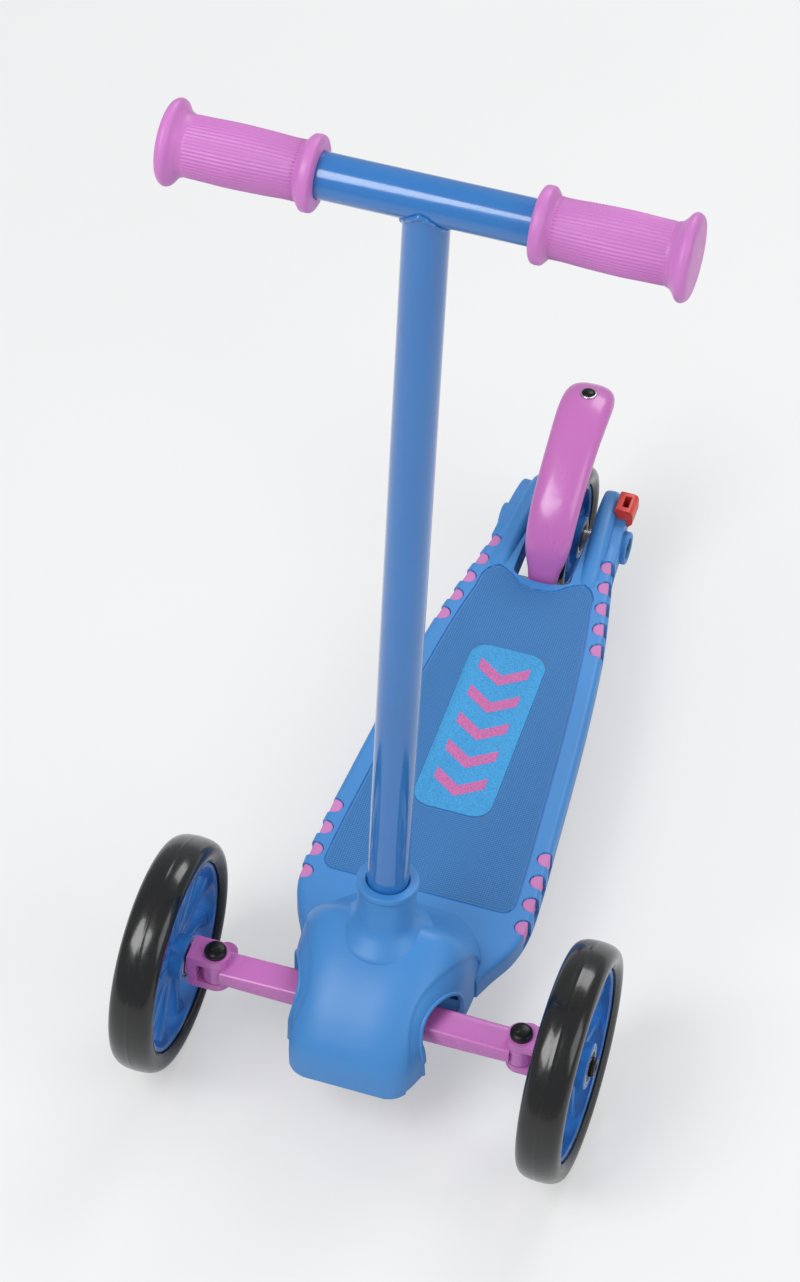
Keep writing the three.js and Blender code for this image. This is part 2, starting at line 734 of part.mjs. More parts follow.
// The share of a rivet's head that its flat top takes up.
const domeShare = 0.75;

// A rivet square to the fender's crown: a domed head above it and a shank through it.
function rivetForm(head, shank, rise) {
  const foot = -fenderWall - 2 * brakePlateThickness;
  const lift = 2 * seatGap;
  const profile = [[0, foot], [shank, foot], [shank, lift], [head, lift], [head * domeShare, lift + rise],
    [0, lift + rise]];
  const way = fenderPath.getTangentAt(rivetPathShare);
  const spot = fenderPath.getPointAt(rivetPathShare);
  const form = revolve('z', profile).rotateX(Math.atan2(-way.y, -way.x));
  return form.translate(0, -spot.x, rearWheelRadius + spot.y);
}

// The share of the fender's path that the brake's plate runs along, and that its block takes up.
const plateSpanShares = [0.4, 0.91];
const blockSpanShare = 0.36;
// The angles round the rear axle, in degrees above the front, that the block covers when pressed.
const blockAngles = [103, 96, 89, 82];

// The pad's wear face fits the tyre once the fender is pressed through its travel.
function brakePadOutline() {
  const [from, to] = plateSpanShares;
  const depth = fenderWall + 5 * seatGap;
  const steps = 8;
  const at = (i, down) => underFender(from + ((to - from) * i) / steps, down);
  const top = Array.from({ length: steps + 1 }, (_, i) => at(i, depth));
  const bottom = Array.from({ length: steps + 1 }, (_, i) => at(steps - i, depth + brakePlateThickness))
    .filter((_, i) => i < steps * (1 - blockSpanShare));
  const hinge = vector(hingeAhead, hingeAbove);
  const face = blockAngles.map((degrees) => {
    const turn = THREE.MathUtils.degToRad(degrees);
    const reach = rearWheelRadius + wearGap;
    return vector(reach * Math.cos(turn), reach * Math.sin(turn))
      .rotateAround(hinge, -THREE.MathUtils.degToRad(brakeTravel));
  });
  return [...top, ...bottom, ...face];
}

function brakePad() {
  const pad = turnToX(extrude(brakePadOutline(), brakePadWidth)).translate(0, 0, rearWheelRadius);
  return cut(toSolid(pad), rivetForm(rivetShankRadius + seatGap, rivetShankRadius + seatGap, 0));
}

// A wire along a smooth curve through points.
function wire(points, thickness, steps) {
  const sides = Array.from({ length: wireSides }, (_, i) =>
    vector(thickness / 2, 0).rotateAround(vector(0, 0), (i * 2 * Math.PI) / wireSides));
  const path = new THREE.CatmullRomCurve3(points);
  return new THREE.ExtrudeGeometry(new THREE.Shape(sides), { steps, extrudePath: path });
}

// The spring that lifts the brake: turns round the hinge pin, with a leg at each end.
function brakeSpring() {
  const radius = hingePinRadius + seatGap + springWire / 2;
  const pitch = springWire + springGap;
  const start = hingeBarrelWidth / 2 + seatGap + springWire / 2;
  const stepsPerTurn = 8;
  const coil = Array.from({ length: springTurns * stepsPerTurn + 1 }, (_, i) => {
    const turn = (i * 2 * Math.PI) / stepsPerTurn;
    const along = start + (i * pitch) / stepsPerTurn;
    return new THREE.Vector3(along, radius * Math.cos(turn), radius * Math.sin(turn));
  });
  const last = coil[coil.length - 1];
  const points = [new THREE.Vector3(coil[0].x, radius, -springLeg), ...coil,
    new THREE.Vector3(last.x, radius, springLeg)];
  return wire(points, springWire, springTurns * stepsPerTurn + 4)
    .translate(0, -hingeAhead, rearWheelRadius + hingeAbove);
}

function armClip() {
  const outer = slotHalfWidth + armWidth + 2 * seatGap + clipWall;
  const top = armBottom + armHeight + seatGap + clipWall;
  const body = block([outer - clipWidth, -clipAhead - clipLength / 2, top - clipDrop],
    [outer, clipLength / 2 - clipAhead, top]);
  const middle = outer - clipWidth / 2;
  const window = block([middle - clipWindow / 2, -clipAhead - clipWindow, top - clipDrop - overrun],
    [middle + clipWindow / 2, clipWindow - clipAhead, top + overrun]);
  return cut(toSolid(body), arm(1, seatGap), window);
}

// Nose cover

// Its sections: share of its length from the rear, of its half-width and of its height.
const noseShares = [[0, 0.7, 0.27], [0.1, 0.86, 0.4], [0.2, 0.96, 0.62], [0.3, 1, 0.88], [0.38, 1, 1],
  [0.48, 0.98, 0.99], [0.6, 0.93, 0.93], [0.72, 0.86, 0.83], [0.84, 0.77, 0.69], [0.93, 0.68, 0.55],
  [0.98, 0.58, 0.44], [1, 0.46, 0.34]];
const domeSteps = 10;
const domeSquareness = 0.6;
const shoulderSteps = 8;

function noseForm(inset) {
  const bottom = inset > 0 ? noseBottom - overrun : noseBottom;
  return loft(noseShares.map(([along, wide, high]) => {
    const half = (wide * noseWidth) / 2 - inset;
    const rise = noseBottom + high * (noseHeight - noseBottom) - inset - bottom;
    const outline = Array.from({ length: domeSteps + 1 }, (_, i) => {
      const turn = (Math.PI * i) / domeSteps;
      const side = Math.cos(turn);
      return vector(Math.sign(side) * half * Math.abs(side) ** domeSquareness,
        rise * Math.max(Math.sin(turn), 0) ** domeSquareness + bottom);
    });
    const ahead = THREE.MathUtils.lerp(noseRear + inset, noseFront - inset, along);
    return { outline, place: (point) => new THREE.Vector3(point.x, -ahead, point.y) };
  }));
}

// An outline of (ahead, up) as a solid across the scooter, its curves in finer steps.
function extrudeArch(shape, width) {
  return turnToX(extrude(new THREE.Shape(shape.getPoints(shoulderSteps)), width));
}

// Moves a form from the stem's own frame, with its foot at the origin, to its place.
function onStem(geometry) {
  return geometry.rotateX(-THREE.MathUtils.degToRad(stemLean)).translate(0, -stemFootAhead, stemFootHeight);
}

// The collar's flare, as shares of the skirt's reach past the collar and of its height.
const skirtShares = [[1, 0], [0.94, 0.18], [0.55, 0.46], [0.18, 0.75], [0, 1]];
const collarBead = 1.3;
const collarBeadHeight = 5;

function collarForm() {
  const reach = skirtRadius - collarRadius;
  const bead = collarRadius + collarBead;
  return onStem(revolve('z', [[0, -socketFloor - seatGap], [socketRadius, -socketFloor - seatGap],
    [socketRadius, skirtFoot],
    ...skirtShares.map(([out, up]) => [collarRadius + out * reach, skirtFoot + up * skirtHeight]),
    [collarRadius, collarTop - collarBeadHeight], [bead, collarTop - collarBeadHeight + collarBead],
    [bead, collarTop - collarBead], [collarRadius, collarTop], [0, collarTop]], tubeSegments));
}

// A cylinder across the stem, towards its rear, at the height of the locking pin.
function releaseRod(radius, from, to) {
  return rod('y', radius, from, to).translate(0, 0, pinAbove);
}

// What is taken off both sides of the cover, under an arched shoulder line.
function shoulderStep() {
  const shape = new THREE.Shape();
  const middleAhead = wheelbase - shoulderSetback;
  shape.moveTo(middleAhead - shoulderLength / 2, noseBottom - overrun);
  shape.absellipse(middleAhead, noseBottom, shoulderLength / 2, shoulderTop - noseBottom, Math.PI, 0, true);
  shape.lineTo(middleAhead + shoulderLength / 2, noseBottom - overrun);
  const depth = noseWidth / 2 + overrun - shoulderInside;
  const sides = [1, -1].map((side) => extrudeArch(shape, depth)
    .translate(side * (shoulderInside + depth / 2), 0, 0));
  return cut(join(...sides), noseForm(shoulderDepth));
}

function noseCover() {
  const arch = new THREE.Shape();
  arch.moveTo(wheelbase - archWidth / 2, noseBottom - overrun);
  arch.lineTo(wheelbase - archWidth / 2, archTop - archWidth / 2);
  arch.absarc(wheelbase, archTop - archWidth / 2, archWidth / 2, Math.PI, 0, true);
  arch.lineTo(wheelbase + archWidth / 2, noseBottom - overrun);
  const archCutter = extrudeArch(arch, noseWidth + 2 * overrun);
  const outside = toSolid(noseForm(0)).subtract(shoulderStep());
  const shell = cut(outside, noseForm(noseWall), archCutter);
  const middle = toSolid(noseForm(noseWall / 2));
  const bulkhead = toSolid(block(
    [-noseWidth, -bulkheadAhead - bulkheadThickness, frontWheelRadius - bulkheadDrop],
    [noseWidth, -bulkheadAhead, noseHeight])).intersect(middle);
  const seats = [blockAcross, -blockAcross].map((across) => {
    const seat = rod('z', blockRadius + runGap, seatHeight, noseHeight).translate(across, -wheelbase, 0);
    return toSolid(seat).intersect(middle);
  });
  const collar = join(collarForm(), onStem(releaseRod(buttonBossRadius, tubeRadius, buttonBossReach)));
  const whole = [bulkhead, ...seats, collar].reduce((sum, next) => sum.add(next), shell);
  const stemBore = onStem(rod('z', tubeRadius + seatGap, -seatGap, collarTop + overrun, tubeSegments));
  const footRoom = block([-noseWidth, -platformFront - seatGap, noseBottom - overrun],
    [noseWidth, overrun - noseRear, deckTop + seatGap]);
  const boltHole = rod('y', leanBoltRadius + seatGap, -noseFront + noseWall, -wheelbase)
    .translate(0, 0, frontWheelRadius);
  return cut(whole, stemBore, footRoom, boltHole,
    onStem(releaseRod(lockPinRadius + seatGap, 0, buttonBossReach)),
    onStem(releaseRod(buttonHeadRadius + seatGap, collarRadius + buttonRecess, buttonBossReach + overrun)));
}

// The finger button, in the stem's frame: a domed head on a shank that meets the locking pin.
function releaseButton() {
  const headFoot = collarRadius + buttonRecess + lockPinReach + runGap;
  const shank = releaseRod(lockPinRadius, tubeRadius + lockPinReach + seatGap, headFoot + seatGap);
  const top = headFoot + buttonHeadHeight;
  const profile = [[0, headFoot], [buttonHeadRadius, headFoot], [buttonHeadRadius, top - runGap * 2],
    [buttonHeadRadius - runGap * 2, top - seatGap], [0, top]];
  const head = revolve('y', profile).translate(0, 0, pinAbove);
  return join(shank, head);
}

// Handle, in the stem's frame

const barAlong = (barHeight - stemFootHeight) / Math.cos(THREE.MathUtils.degToRad(stemLean));

function handlebar() {
  const tube = (radius, past) => [
    rod('z', radius, -past, barAlong, tubeSegments),
    rod('x', radius, -barLength / 2 - past, barLength / 2 + past, tubeSegments).translate(0, 0, barAlong)];
  const lockHole = releaseRod(lockPinRadius + runGap, 0, tubeRadius + overrun);
  return cut(join(...tube(tubeRadius, 0)), ...tube(tubeRadius - tubeWall, overrun), lockHole);
}

// The grip's outside from its end inwards, each as a share of the radius named and of the length.
const gripEndShares = [[0.62, 0], [0.92, 0.02], [1, 0.05], [0.93, 0.085], [0.74, 0.108]];
const gripBodyShares = [[0.98, 0.15], [1.03, 0.45], [0.98, 0.86], [1.02, 0.9]];
const gripFlangeShares = [[0.97, 0.93], [1, 0.975], [0.88, 1]];

function grip(side) {
  const bore = tubeRadius + seatGap;
  const scaled = (shares, radius) => shares.map(([out, along]) => [out * radius, along * gripLength]);
  const profile = [[0, 0], ...scaled(gripEndShares, gripEndRadius), ...scaled(gripBodyShares, gripRadius),
    ...scaled(gripFlangeShares, gripFlangeRadius), [bore, gripLength], [bore, gripEndWall], [0, gripEndWall]];
  const end = barLength / 2 + gripEndWall + seatGap;
  return onSide(-side, revolve('x', profile, tubeSegments).translate(-end, 0, barAlong));
}

// A flat spring bent to a V, whose rear leg carries the locking pin out through the stem.
function snapSpring() {
  const reach = snapSpringReach;
  const top = pinAbove + 2 * lockPinRadius;
  const points = [[-reach, top], [-reach, pinAbove], [-reach, snapSpringFoot + reach], [0, snapSpringFoot],
    [reach, snapSpringFoot + reach], [reach, pinAbove], [reach, top]];
  const path = new THREE.CatmullRomCurve3(points.map(([y, z]) => new THREE.Vector3(0, y, z)));
  const [flat, thick] = [snapSpringThickness / 2, snapSpringWidth / 2];
  const section = [vector(-flat, -thick), vector(flat, -thick), vector(flat, thick), vector(-flat, thick)];
  const strip = new THREE.ExtrudeGeometry(new THREE.Shape(section), { steps: 16, extrudePath: path });
  return join(strip, releaseRod(lockPinRadius, reach, tubeRadius + lockPinReach));
}

// Lean-to-steer linkage, in the frame of the front axle

// The beam's arm from the front, as shares of the king pin's reach and of its half-height.
const beamShares = [[0.18, 1], [0.6, 0.94], [0.95, 0.8], [0.95, -0.8], [0.6, -0.94], [0.18, -1]];

function axleBeam() {
  const arm = beamShares.map(([across, up]) => vector(across * kingPinX, (up * beamHeight) / 2));
  const outline = [...arm, ...mirrored(arm)];
  const rear = wheelbase - deckFront - runGap;
  const front = bulkheadAhead - wheelbase - runGap;
  const eyes = [kingPinX, -kingPinX].map((across) =>
    rod('z', kingEyeRadius, -kingEyeHeight / 2, kingEyeHeight / 2).translate(across, 0, 0));
  const holes = [kingPinX, -kingPinX].map((across) =>
    rod('z', kingPinRadius + seatGap, -kingEyeHeight, kingEyeHeight).translate(across, 0, 0));
  return cut(join(turnToY(extrude(outline, beamThickness, beamRound, 1)),
    rod('y', beamBossRadius, -front, rear), ...eyes),
    ...holes, rod('y', leanBoltRadius + seatGap, -front - overrun, rear + overrun));
}

function knuckle(side) {
  const inner = kingEyeHeight / 2 + seatGap;
  const outer = inner + earThickness;
  const webInside = kingPinX + kingEyeRadius + 2 * runGap;
  const webOutside = webInside + knuckleWall;
  const hubFace = halfTrack - hubWidth / 2;
  const half = kingEyeRadius;
  const level = [[inner, outer], [-outer, -inner]];
  const ears = level.flatMap(([low, high]) => [
    rod('z', half, low, high).translate(kingPinX, 0, 0),
    block([kingPinX, -half, low], [webOutside, half, high])]);
  const web = block([webInside, -half, -outer], [webOutside, half, outer]);
  const stub = rod('x', stubBossRadius, webInside + overrun, hubFace - runGap);
  const steer = block([kingPinX - tieRodEyeRadius, 0, -outer],
    [kingPinX + tieRodEyeRadius, steerArmLength, -inner]);
  const eye = rod('z', tieRodEyeRadius, -outer, -inner).translate(kingPinX, steerArmLength, 0);
  const rodTop = tieRodThickness / 2 - tieRodDrop;
  const peg = rod('z', drivePinRadius, -outer + overrun, rodTop - tieRodThickness - pegOverhang)
    .translate(kingPinX, steerArmLength, 0);
  const pegBoss = rod('z', pegBossRadius, -outer + overrun, rodTop + runGap)
    .translate(kingPinX, steerArmLength, 0);
  const [under, over] = [-outer - overrun, outer + overrun];
  const holes = [rod('z', kingPinRadius + runGap, under, over).translate(kingPinX, 0, 0),
    rod('x', axleRadius + seatGap, webInside - overrun, hubFace)];
  return onSide(side, toGeometry(cut(join(...ears, web, stub, steer, eye, peg, pegBoss), ...holes)));
}

function tieRod() {
  const half = tieRodThickness / 2;
  const bar = block([-kingPinX, -tieRodWidth / 2, -half], [kingPinX, tieRodWidth / 2, half]);
  const places = [-kingPinX, 0, kingPinX];
  const eyes = places.map((across) => rod('z', tieRodEyeRadius, -half, half).translate(across, 0, 0));
  const holes = places.map((across) =>
    rod('z', drivePinRadius + drivePlay, -half - overrun, half + overrun).translate(across, 0, 0));
  return toGeometry(cut(join(bar, ...eyes), ...holes)).translate(0, steerArmLength, -tieRodDrop);
}

// A rubber block that is narrower at its waist.
function centringBlock(side) {
  const foot = frontWheelRadius + beamHeight / 2 + seatGap;
  const top = seatHeight - seatGap;
  const waist = blockRadius - 2 * runGap;
  const thirds = [1 / 3, 2 / 3].map((share) => [waist, THREE.MathUtils.lerp(foot, top, share)]);
  const profile = [[0, foot], [blockRadius, foot], ...thirds, [blockRadius, top], [0, top]];
  return revolve('z', profile).translate(side * blockAcross, -wheelbase, 0);
}

// Assembly

const scooter = new THREE.Group();

// The deck and what is fixed to it.
function addDeck(body) {
  addPiece(body, 'deck', deckSolid(), blue);
  padRows.forEach(({ name, side, centre, count }) =>
    addPiece(body, name, padRow(side, centre, count, 0, -padRecess, deckTop - padDrop), magenta));
  addPiece(body, 'grit_patch', gritPatch(), patchBlue);
  addPiece(body, 'arm_clip', armClip(), red);
  addPiece(body, 'nose_cover', noseCover(), blue);
  const bolted = bolt('y', leanBoltRadius, seatGap + leanLugThickness - deckFront,
    -bulkheadAhead - bulkheadThickness - headHeight - 2 * seatGap, leanHeadRadius, headHeight);
  addPiece(body, 'lean_bolt', bolted, steel).position.z = frontWheelRadius;
  const nutFace = -bulkheadAhead - bulkheadThickness - seatGap;
  const leanNut = nut('y', leanBoltRadius + seatGap, nutFace - headHeight, nutFace);
  addPiece(body, 'lean_nut', leanNut, steel).position.z = frontWheelRadius;
  const pinFoot = tieRodZ - tieRodThickness / 2 - pegOverhang;
  const pin = rod('z', drivePinRadius, pinFoot, tongueTop - overrun - seatGap);
  addPiece(body, 'drive_pin', pin, steel).position.y = -tieRodAhead;
  addPiece(body, 'centring_block_left', centringBlock(1), rubber);
  addPiece(body, 'centring_block_right', centringBlock(-1), rubber);
}

function addRearAxle(body) {
  const axle = new THREE.Group();
  axle.position.z = rearWheelRadius;
  body.add(axle);
  const pocketFloor = bossReach - bossRecess;
  const boltForm = bolt('x', axleRadius, pocketFloor + seatGap, -bossReach + overrun, headRadius, headHeight);
  addPiece(axle, 'rear_axle_bolt', boltForm, black);
  const nutFace = -pocketFloor - seatGap;
  addPiece(axle, 'rear_axle_nut', nut('x', axleRadius + seatGap, nutFace - headHeight, nutFace), steel);
  const [near, far] = [hubWidth / 2 + seatGap, slotHalfWidth - seatGap];
  addPiece(axle, 'rear_spacer_left', ring('x', axleRadius + seatGap, headRadius, near, far), steel);
  addPiece(axle, 'rear_spacer_right', ring('x', axleRadius + seatGap, headRadius, -far, -near), steel);
  addWheel(axle, 'rear_wheel', rearWheelRadius, rearTyreWidth, rearTyreDepth, rearSpokes);
}

function addBrake(body) {
  addPiece(body, 'brake_fender', fenderSolid(), magenta);
  addPiece(body, 'brake_pad', brakePad(), black);
  addPiece(body, 'brake_rivet', rivetForm(rivetRadius, rivetShankRadius, rivetDome), black);
  addPiece(body, 'brake_spring', brakeSpring(), steel);
  const reach = slotHalfWidth + hingeBarrelRadius;
  const pin = addPiece(body, 'brake_hinge_pin', rod('x', hingePinRadius, -reach, reach), steel);
  pin.position.set(0, -hingeAhead, rearWheelRadius + hingeAbove);
}

function addFrontAxle(body) {
  const axle = new THREE.Group();
  axle.position.set(0, -wheelbase, frontWheelRadius);
  body.add(axle);
  addPiece(axle, 'axle_beam', axleBeam(), magenta);
  addPiece(axle, 'tie_rod', tieRod(), black);
  for (const [name, side] of [['left', 1], ['right', -1]]) {
    const pinTop = kingEyeHeight / 2 + seatGap + earThickness + seatGap;
    const kingPin = bolt('z', kingPinRadius, pinTop, -pinTop - headHeight, tieRodEyeRadius, headHeight);
    addPiece(axle, `king_pin_${name}`, kingPin, black).position.x = side * kingPinX;
    addPiece(axle, `knuckle_${name}`, knuckle(side), magenta);
    const headFace = halfTrack + hubWidth / 2 + seatGap;
    const stubEnd = kingPinX + kingEyeRadius + 2 * runGap;
    const stub = bolt('x', axleRadius, headFace, stubEnd, headRadius, wheelHeadHeight);
    addPiece(axle, `wheel_bolt_${name}`, onSide(side, toGeometry(stub)), black);
    const wheel = new THREE.Group();
    wheel.position.x = side * halfTrack;
    axle.add(wheel);
    addWheel(wheel, `front_wheel_${name}`, frontWheelRadius, frontTyreWidth, frontTyreDepth, frontSpokes);
  }
}

function addHandle(body) {
  const stem = new THREE.Group();
  stem.rotation.x = -THREE.MathUtils.degToRad(stemLean);
  stem.position.set(0, -stemFootAhead, stemFootHeight);
  body.add(stem);
  addPiece(stem, 'handlebar', handlebar(), paint);
  addPiece(stem, 'grip_left', grip(1), magenta);
  addPiece(stem, 'grip_right', grip(-1), magenta);
  addPiece(stem, 'stem_plug', rod('z', tubeRadius - tubeWall - seatGap, 0, stemPlugHeight), rubber);
  addPiece(stem, 'snap_spring', snapSpring(), steel);
  addPiece(stem, 'release_button', releaseButton(), blue);
}

addDeck(scooter);
addRearAxle(scooter);
addBrake(scooter);
addFrontAxle(scooter);
addHandle(scooter);

// The origin goes to the middle of the whole, at the floor.
scooter.updateMatrixWorld(true);
const box = new THREE.Box3().setFromObject(scooter);
const middle = box.getCenter(new THREE.Vector3());
for (const piece of scooter.children) {
  piece.position.x -= middle.x;
  piece.position.y -= middle.y;
  piece.position.z -= box.min.z;
}

export default scooter;
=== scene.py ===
"""Looks of the three wheel kids scooter, standing on its wheels, in the frame of the model.

Sizes and outlines are in millimetres. Places in space, and the frames at them, are in metres.
"""

import json
import math

import bmesh
import bpy
import numpy as np
from mathutils import Matrix, Vector


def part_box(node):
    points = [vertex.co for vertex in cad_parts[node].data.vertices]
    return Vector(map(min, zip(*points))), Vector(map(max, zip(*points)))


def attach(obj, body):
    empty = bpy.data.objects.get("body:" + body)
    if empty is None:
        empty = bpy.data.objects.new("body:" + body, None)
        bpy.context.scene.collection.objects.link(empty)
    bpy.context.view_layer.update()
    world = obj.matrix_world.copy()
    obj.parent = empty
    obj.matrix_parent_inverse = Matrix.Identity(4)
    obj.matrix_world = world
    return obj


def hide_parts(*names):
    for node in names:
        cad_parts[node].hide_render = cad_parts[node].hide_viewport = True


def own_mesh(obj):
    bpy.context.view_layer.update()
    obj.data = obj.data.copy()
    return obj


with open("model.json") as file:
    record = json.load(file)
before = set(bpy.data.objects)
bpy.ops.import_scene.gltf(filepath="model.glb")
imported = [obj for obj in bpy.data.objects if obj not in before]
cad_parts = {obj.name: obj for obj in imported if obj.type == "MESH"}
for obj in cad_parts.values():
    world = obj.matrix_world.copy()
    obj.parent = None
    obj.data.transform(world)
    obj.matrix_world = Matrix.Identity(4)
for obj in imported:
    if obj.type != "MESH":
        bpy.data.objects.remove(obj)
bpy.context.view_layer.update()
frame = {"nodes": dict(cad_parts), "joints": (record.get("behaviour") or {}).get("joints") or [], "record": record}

MM = 0.001
TAU = 2 * math.pi
QUARTER = math.pi / 2
SIDES = ((1, "left"), (-1, "right"))

body_of = {node: body for body, nodes in frame["record"]["behaviour"]["bodies"].items() for node in nodes}
slot_of = {part["node"]: part["material_slot"] for part in frame["record"]["subparts"]}
joints = {joint["name"]: joint for joint in frame["joints"]}


# Places

def joint_place(name):
    return Vector(joints[name]["pos_m"])


def corners(node):
    """The low and the high corner of a node's box, in millimetres."""
    return [Vector(corner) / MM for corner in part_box(node)]


def middle(node):
    low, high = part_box(node)
    return (Vector(low) + Vector(high)) / 2


def at(across, ahead, up):
    """A place given by its distance ahead of the rear axle."""
    return Vector((across * MM, REAR_AXLE.y - ahead * MM, up * MM))


def facing(place, side):
    """A frame, turned round for a side of -1."""
    return place if side > 0 else place @ Matrix.Rotation(math.pi, 4, "X")


def along_x(place, side=1):
    """A frame at a place whose Z runs along X, or against it for a side of -1."""
    return facing(Matrix.Translation(place) @ Matrix.Rotation(QUARTER, 4, "Y"), side)


def backwards(place):
    """A frame at a place whose Z runs backwards."""
    return Matrix.Translation(place) @ Matrix.Rotation(-QUARTER, 4, "X")


def turned_to(way):
    """The turn that brings Z to a direction."""
    return Vector((0, 0, 1)).rotation_difference(way).to_matrix().to_4x4()


# Sizes that several pieces share, the same as in the solid model

SEAT_GAP = 0.3  # between pieces that rest on each other
WHEELBASE = 430
DECK_TOP = 68
DECK_BOTTOM = 48
STEM_FOOT = Vector((0, -179.5, 88))
STEM_AXIS = Vector(joints["handle_lift"]["axis"])
BAR_HEIGHT = 650
BAR_ALONG = (BAR_HEIGHT - STEM_FOOT.z) / STEM_AXIS.z
PIN_ABOVE = 48  # of the locking pin and the button, above the stem's foot
TUBE_RADIUS = 12.7
TUBE_WALL = 1.6
BOLT_BORE = 4.3

REAR_AXLE = joint_place("rear_wheel_spin")
HINGE = joint_place("brake_press")
AXLE = joint_place("lean")
ON_LEAN = backwards(AXLE)
ON_STEM = Matrix.Translation(STEM_FOOT * MM) @ turned_to(STEM_AXIS)
ON_BAR = ON_STEM @ along_x((0, 0, BAR_ALONG * MM))
ON_PIN = ON_STEM @ backwards((0, 0, PIN_ABOVE * MM))


# Materials

PLACE = ("ShaderNodeTexCoord", "Object")
POINTINESS = ("ShaderNodeNewGeometry", "Pointiness")
CAMERA_RAY = ("ShaderNodeLightPath", "Is Camera Ray")


class Nodes:
    """A short way to add and link the shader nodes of a material or of the world."""

    def __init__(self, owner, shader="Principled BSDF"):
        owner.use_nodes = True
        self.owner = owner
        self.tree = owner.node_tree
        self.shader = self.tree.nodes[shader]

    def feed(self, node, inputs):
        """Sets a node's inputs, each to a constant or to another node's output."""
        for name, value in inputs.items():
            if isinstance(value, bpy.types.NodeSocket):
                self.tree.links.new(value, node.inputs[name])
            else:
                node.inputs[name].default_value = value

    def add(self, kind, output, inputs=None, **settings):
        """Adds a node and gives one of its outputs back."""
        node = self.tree.nodes.new(kind)
        for key, value in settings.items():
            setattr(node, key, value)
        self.feed(node, inputs or {})
        return node.outputs[output]

    def shade(self, inputs):
        """Sets the shader's inputs, and gives the material or world back."""
        self.feed(self.shader, inputs)
        return self.owner

    def math(self, operation, *values):
        return self.add("ShaderNodeMath", 0, dict(enumerate(values)), operation=operation)

    def noise(self, scale, detail, stretch=(1, 1, 1), roughness=0.5):
        mapped = self.add("ShaderNodeMapping", 0, {"Vector": self.add(*PLACE), "Scale": stretch})
        return self.add("ShaderNodeTexNoise", "Fac", {"Vector": mapped, "Scale": scale, "Detail": detail,
                                                      "Roughness": roughness})

    def spread(self, value, low, high, start=0, end=1):
        """Takes the values from start to end to those from low to high."""
        return self.add("ShaderNodeMapRange", 0, {"Value": value, "From Min": start, "From Max": end,
                                                  "To Min": low, "To Max": high})

    def mix(self, share, first, second):
        return self.add("ShaderNodeMix", "Result", {"Factor": share, "A": first, "B": second},
                        data_type="RGBA")

    def bump(self, height, distance, strength=1):
        return self.add("ShaderNodeBump", 0, {"Height": height, "Distance": distance, "Strength": strength})


def linear(red, green, blue):
    """A colour of 0 to 255 as it is seen, as the linear light that a shader takes."""
    shares = (value / 255 for value in (red, green, blue))
    return (*[share / 12.92 if share <= 0.04045 else ((share + 0.055) / 1.055) ** 2.4 for share in shares], 1)


def grey(value):
    return (value, value, value, 1)


def tones(colour, *shares):
    """A colour made darker or paler by each of the shares."""
    return [(*[value * share for value in colour[:3]], 1) for share in shares]


materials = {}


def surface(name, colours, drift, gloss, grain, shift=None, **more):
    """Makes a material with a colour that drifts between two, an uneven gloss and a fine grain.

    drift, gloss and grain each start with a noise. How it is spread follows for the first two, how high it
    stands for the third. A shift changes the colour further, and the rest are the shader's other inputs.
    """
    nodes = Nodes(bpy.data.materials.new(name))
    base = nodes.mix(nodes.spread(nodes.noise(*drift[0]), 0, 1, *drift[1:]), *colours)
    materials[name] = nodes.shade({
        "Base Color": shift(nodes, base) if shift else base,
        "Roughness": nodes.spread(nodes.noise(*gloss[0]), *gloss[1:]),
        "Normal": nodes.bump(nodes.noise(*grain[0]), grain[1]),
        **{key.replace("_", " ").title(): value for key, value in more.items()}})


def worn_edge(paler, amount):
    """A shift to a paler colour along edges that hands and shoes rub."""
    def shift(nodes, base):
        edge = nodes.spread(nodes.add(*POINTINESS), 0, amount, 0.52, 0.6)
        patchy = nodes.spread(nodes.noise(90, 3), 0.2, 1, 0.35, 0.65)
        return nodes.mix(nodes.math("MULTIPLY", edge, patchy), base, paler)
    return shift


def moulded(name, colour, roughness, grain=0.00005, coat=0, wear=0):
    """Moulded plastic: slow colour drift, scuffed gloss, fine spark-eroded grain and paler edges."""
    paler = (*[min(1, value * 0.75 + 0.25) for value in colour[:3]], 1)
    surface(name, tones(colour, 0.94, 1.05), ((7, 2), 0.3, 0.7),
            ((40, 3, (1, 0.4, 1)), roughness * 0.92, roughness * 1.12, 0.2, 0.8), ((900, 2), grain),
            worn_edge(paler, wear) if wear else None, coat_weight=coat, coat_roughness=0.12)


def studded(name, colour, roughness):
    """The deck's panel, with painted shade: the gaps between its studs are darker than the studs' tops."""
    def shift(nodes, base):
        # Painted shade: below the studs' tops, in the gaps between them, the colour is darkened by height.
        height = nodes.add("ShaderNodeSeparateXYZ", "Z", {0: nodes.add(*PLACE)})
        share = nodes.spread(height, 0, 1, (DECK_TOP + 0.02) * MM, (DECK_TOP + 0.3) * MM)
        return nodes.mix(share, *tones(colour, 0.62), base)
    surface(name, tones(colour, 0.94, 1.05), ((7, 2), 0.3, 0.7),
            ((60, 5, (1, 0.25, 1), 0.65), roughness - 0.05, roughness + 0.08, 0.3, 0.75),
            ((1500, 2), 0.00003), shift)


def soft_rubber(name, colour, roughness, painted_groove_shade=0):
    """Soft coloured rubber with a fine bloom on it, and painted shade in its grooves."""
    def shift(nodes, base):
        # Painted shade: hollows, found by pointiness, are darkened towards a darker tone of the rubber.
        share = nodes.spread(nodes.add(*POINTINESS), painted_groove_shade, 0, 0.4, 0.5)
        return nodes.mix(share, base, *tones(colour, 0.55))
    surface(name, tones(colour, 0.93, 1.04), ((25, 3), 0.3, 0.7),
            ((180, 4), roughness - 0.06, roughness + 0.08, 0.3, 0.7), ((1200, 2), 0.00004),
            shift if painted_groove_shade else None, sheen_weight=0.08)


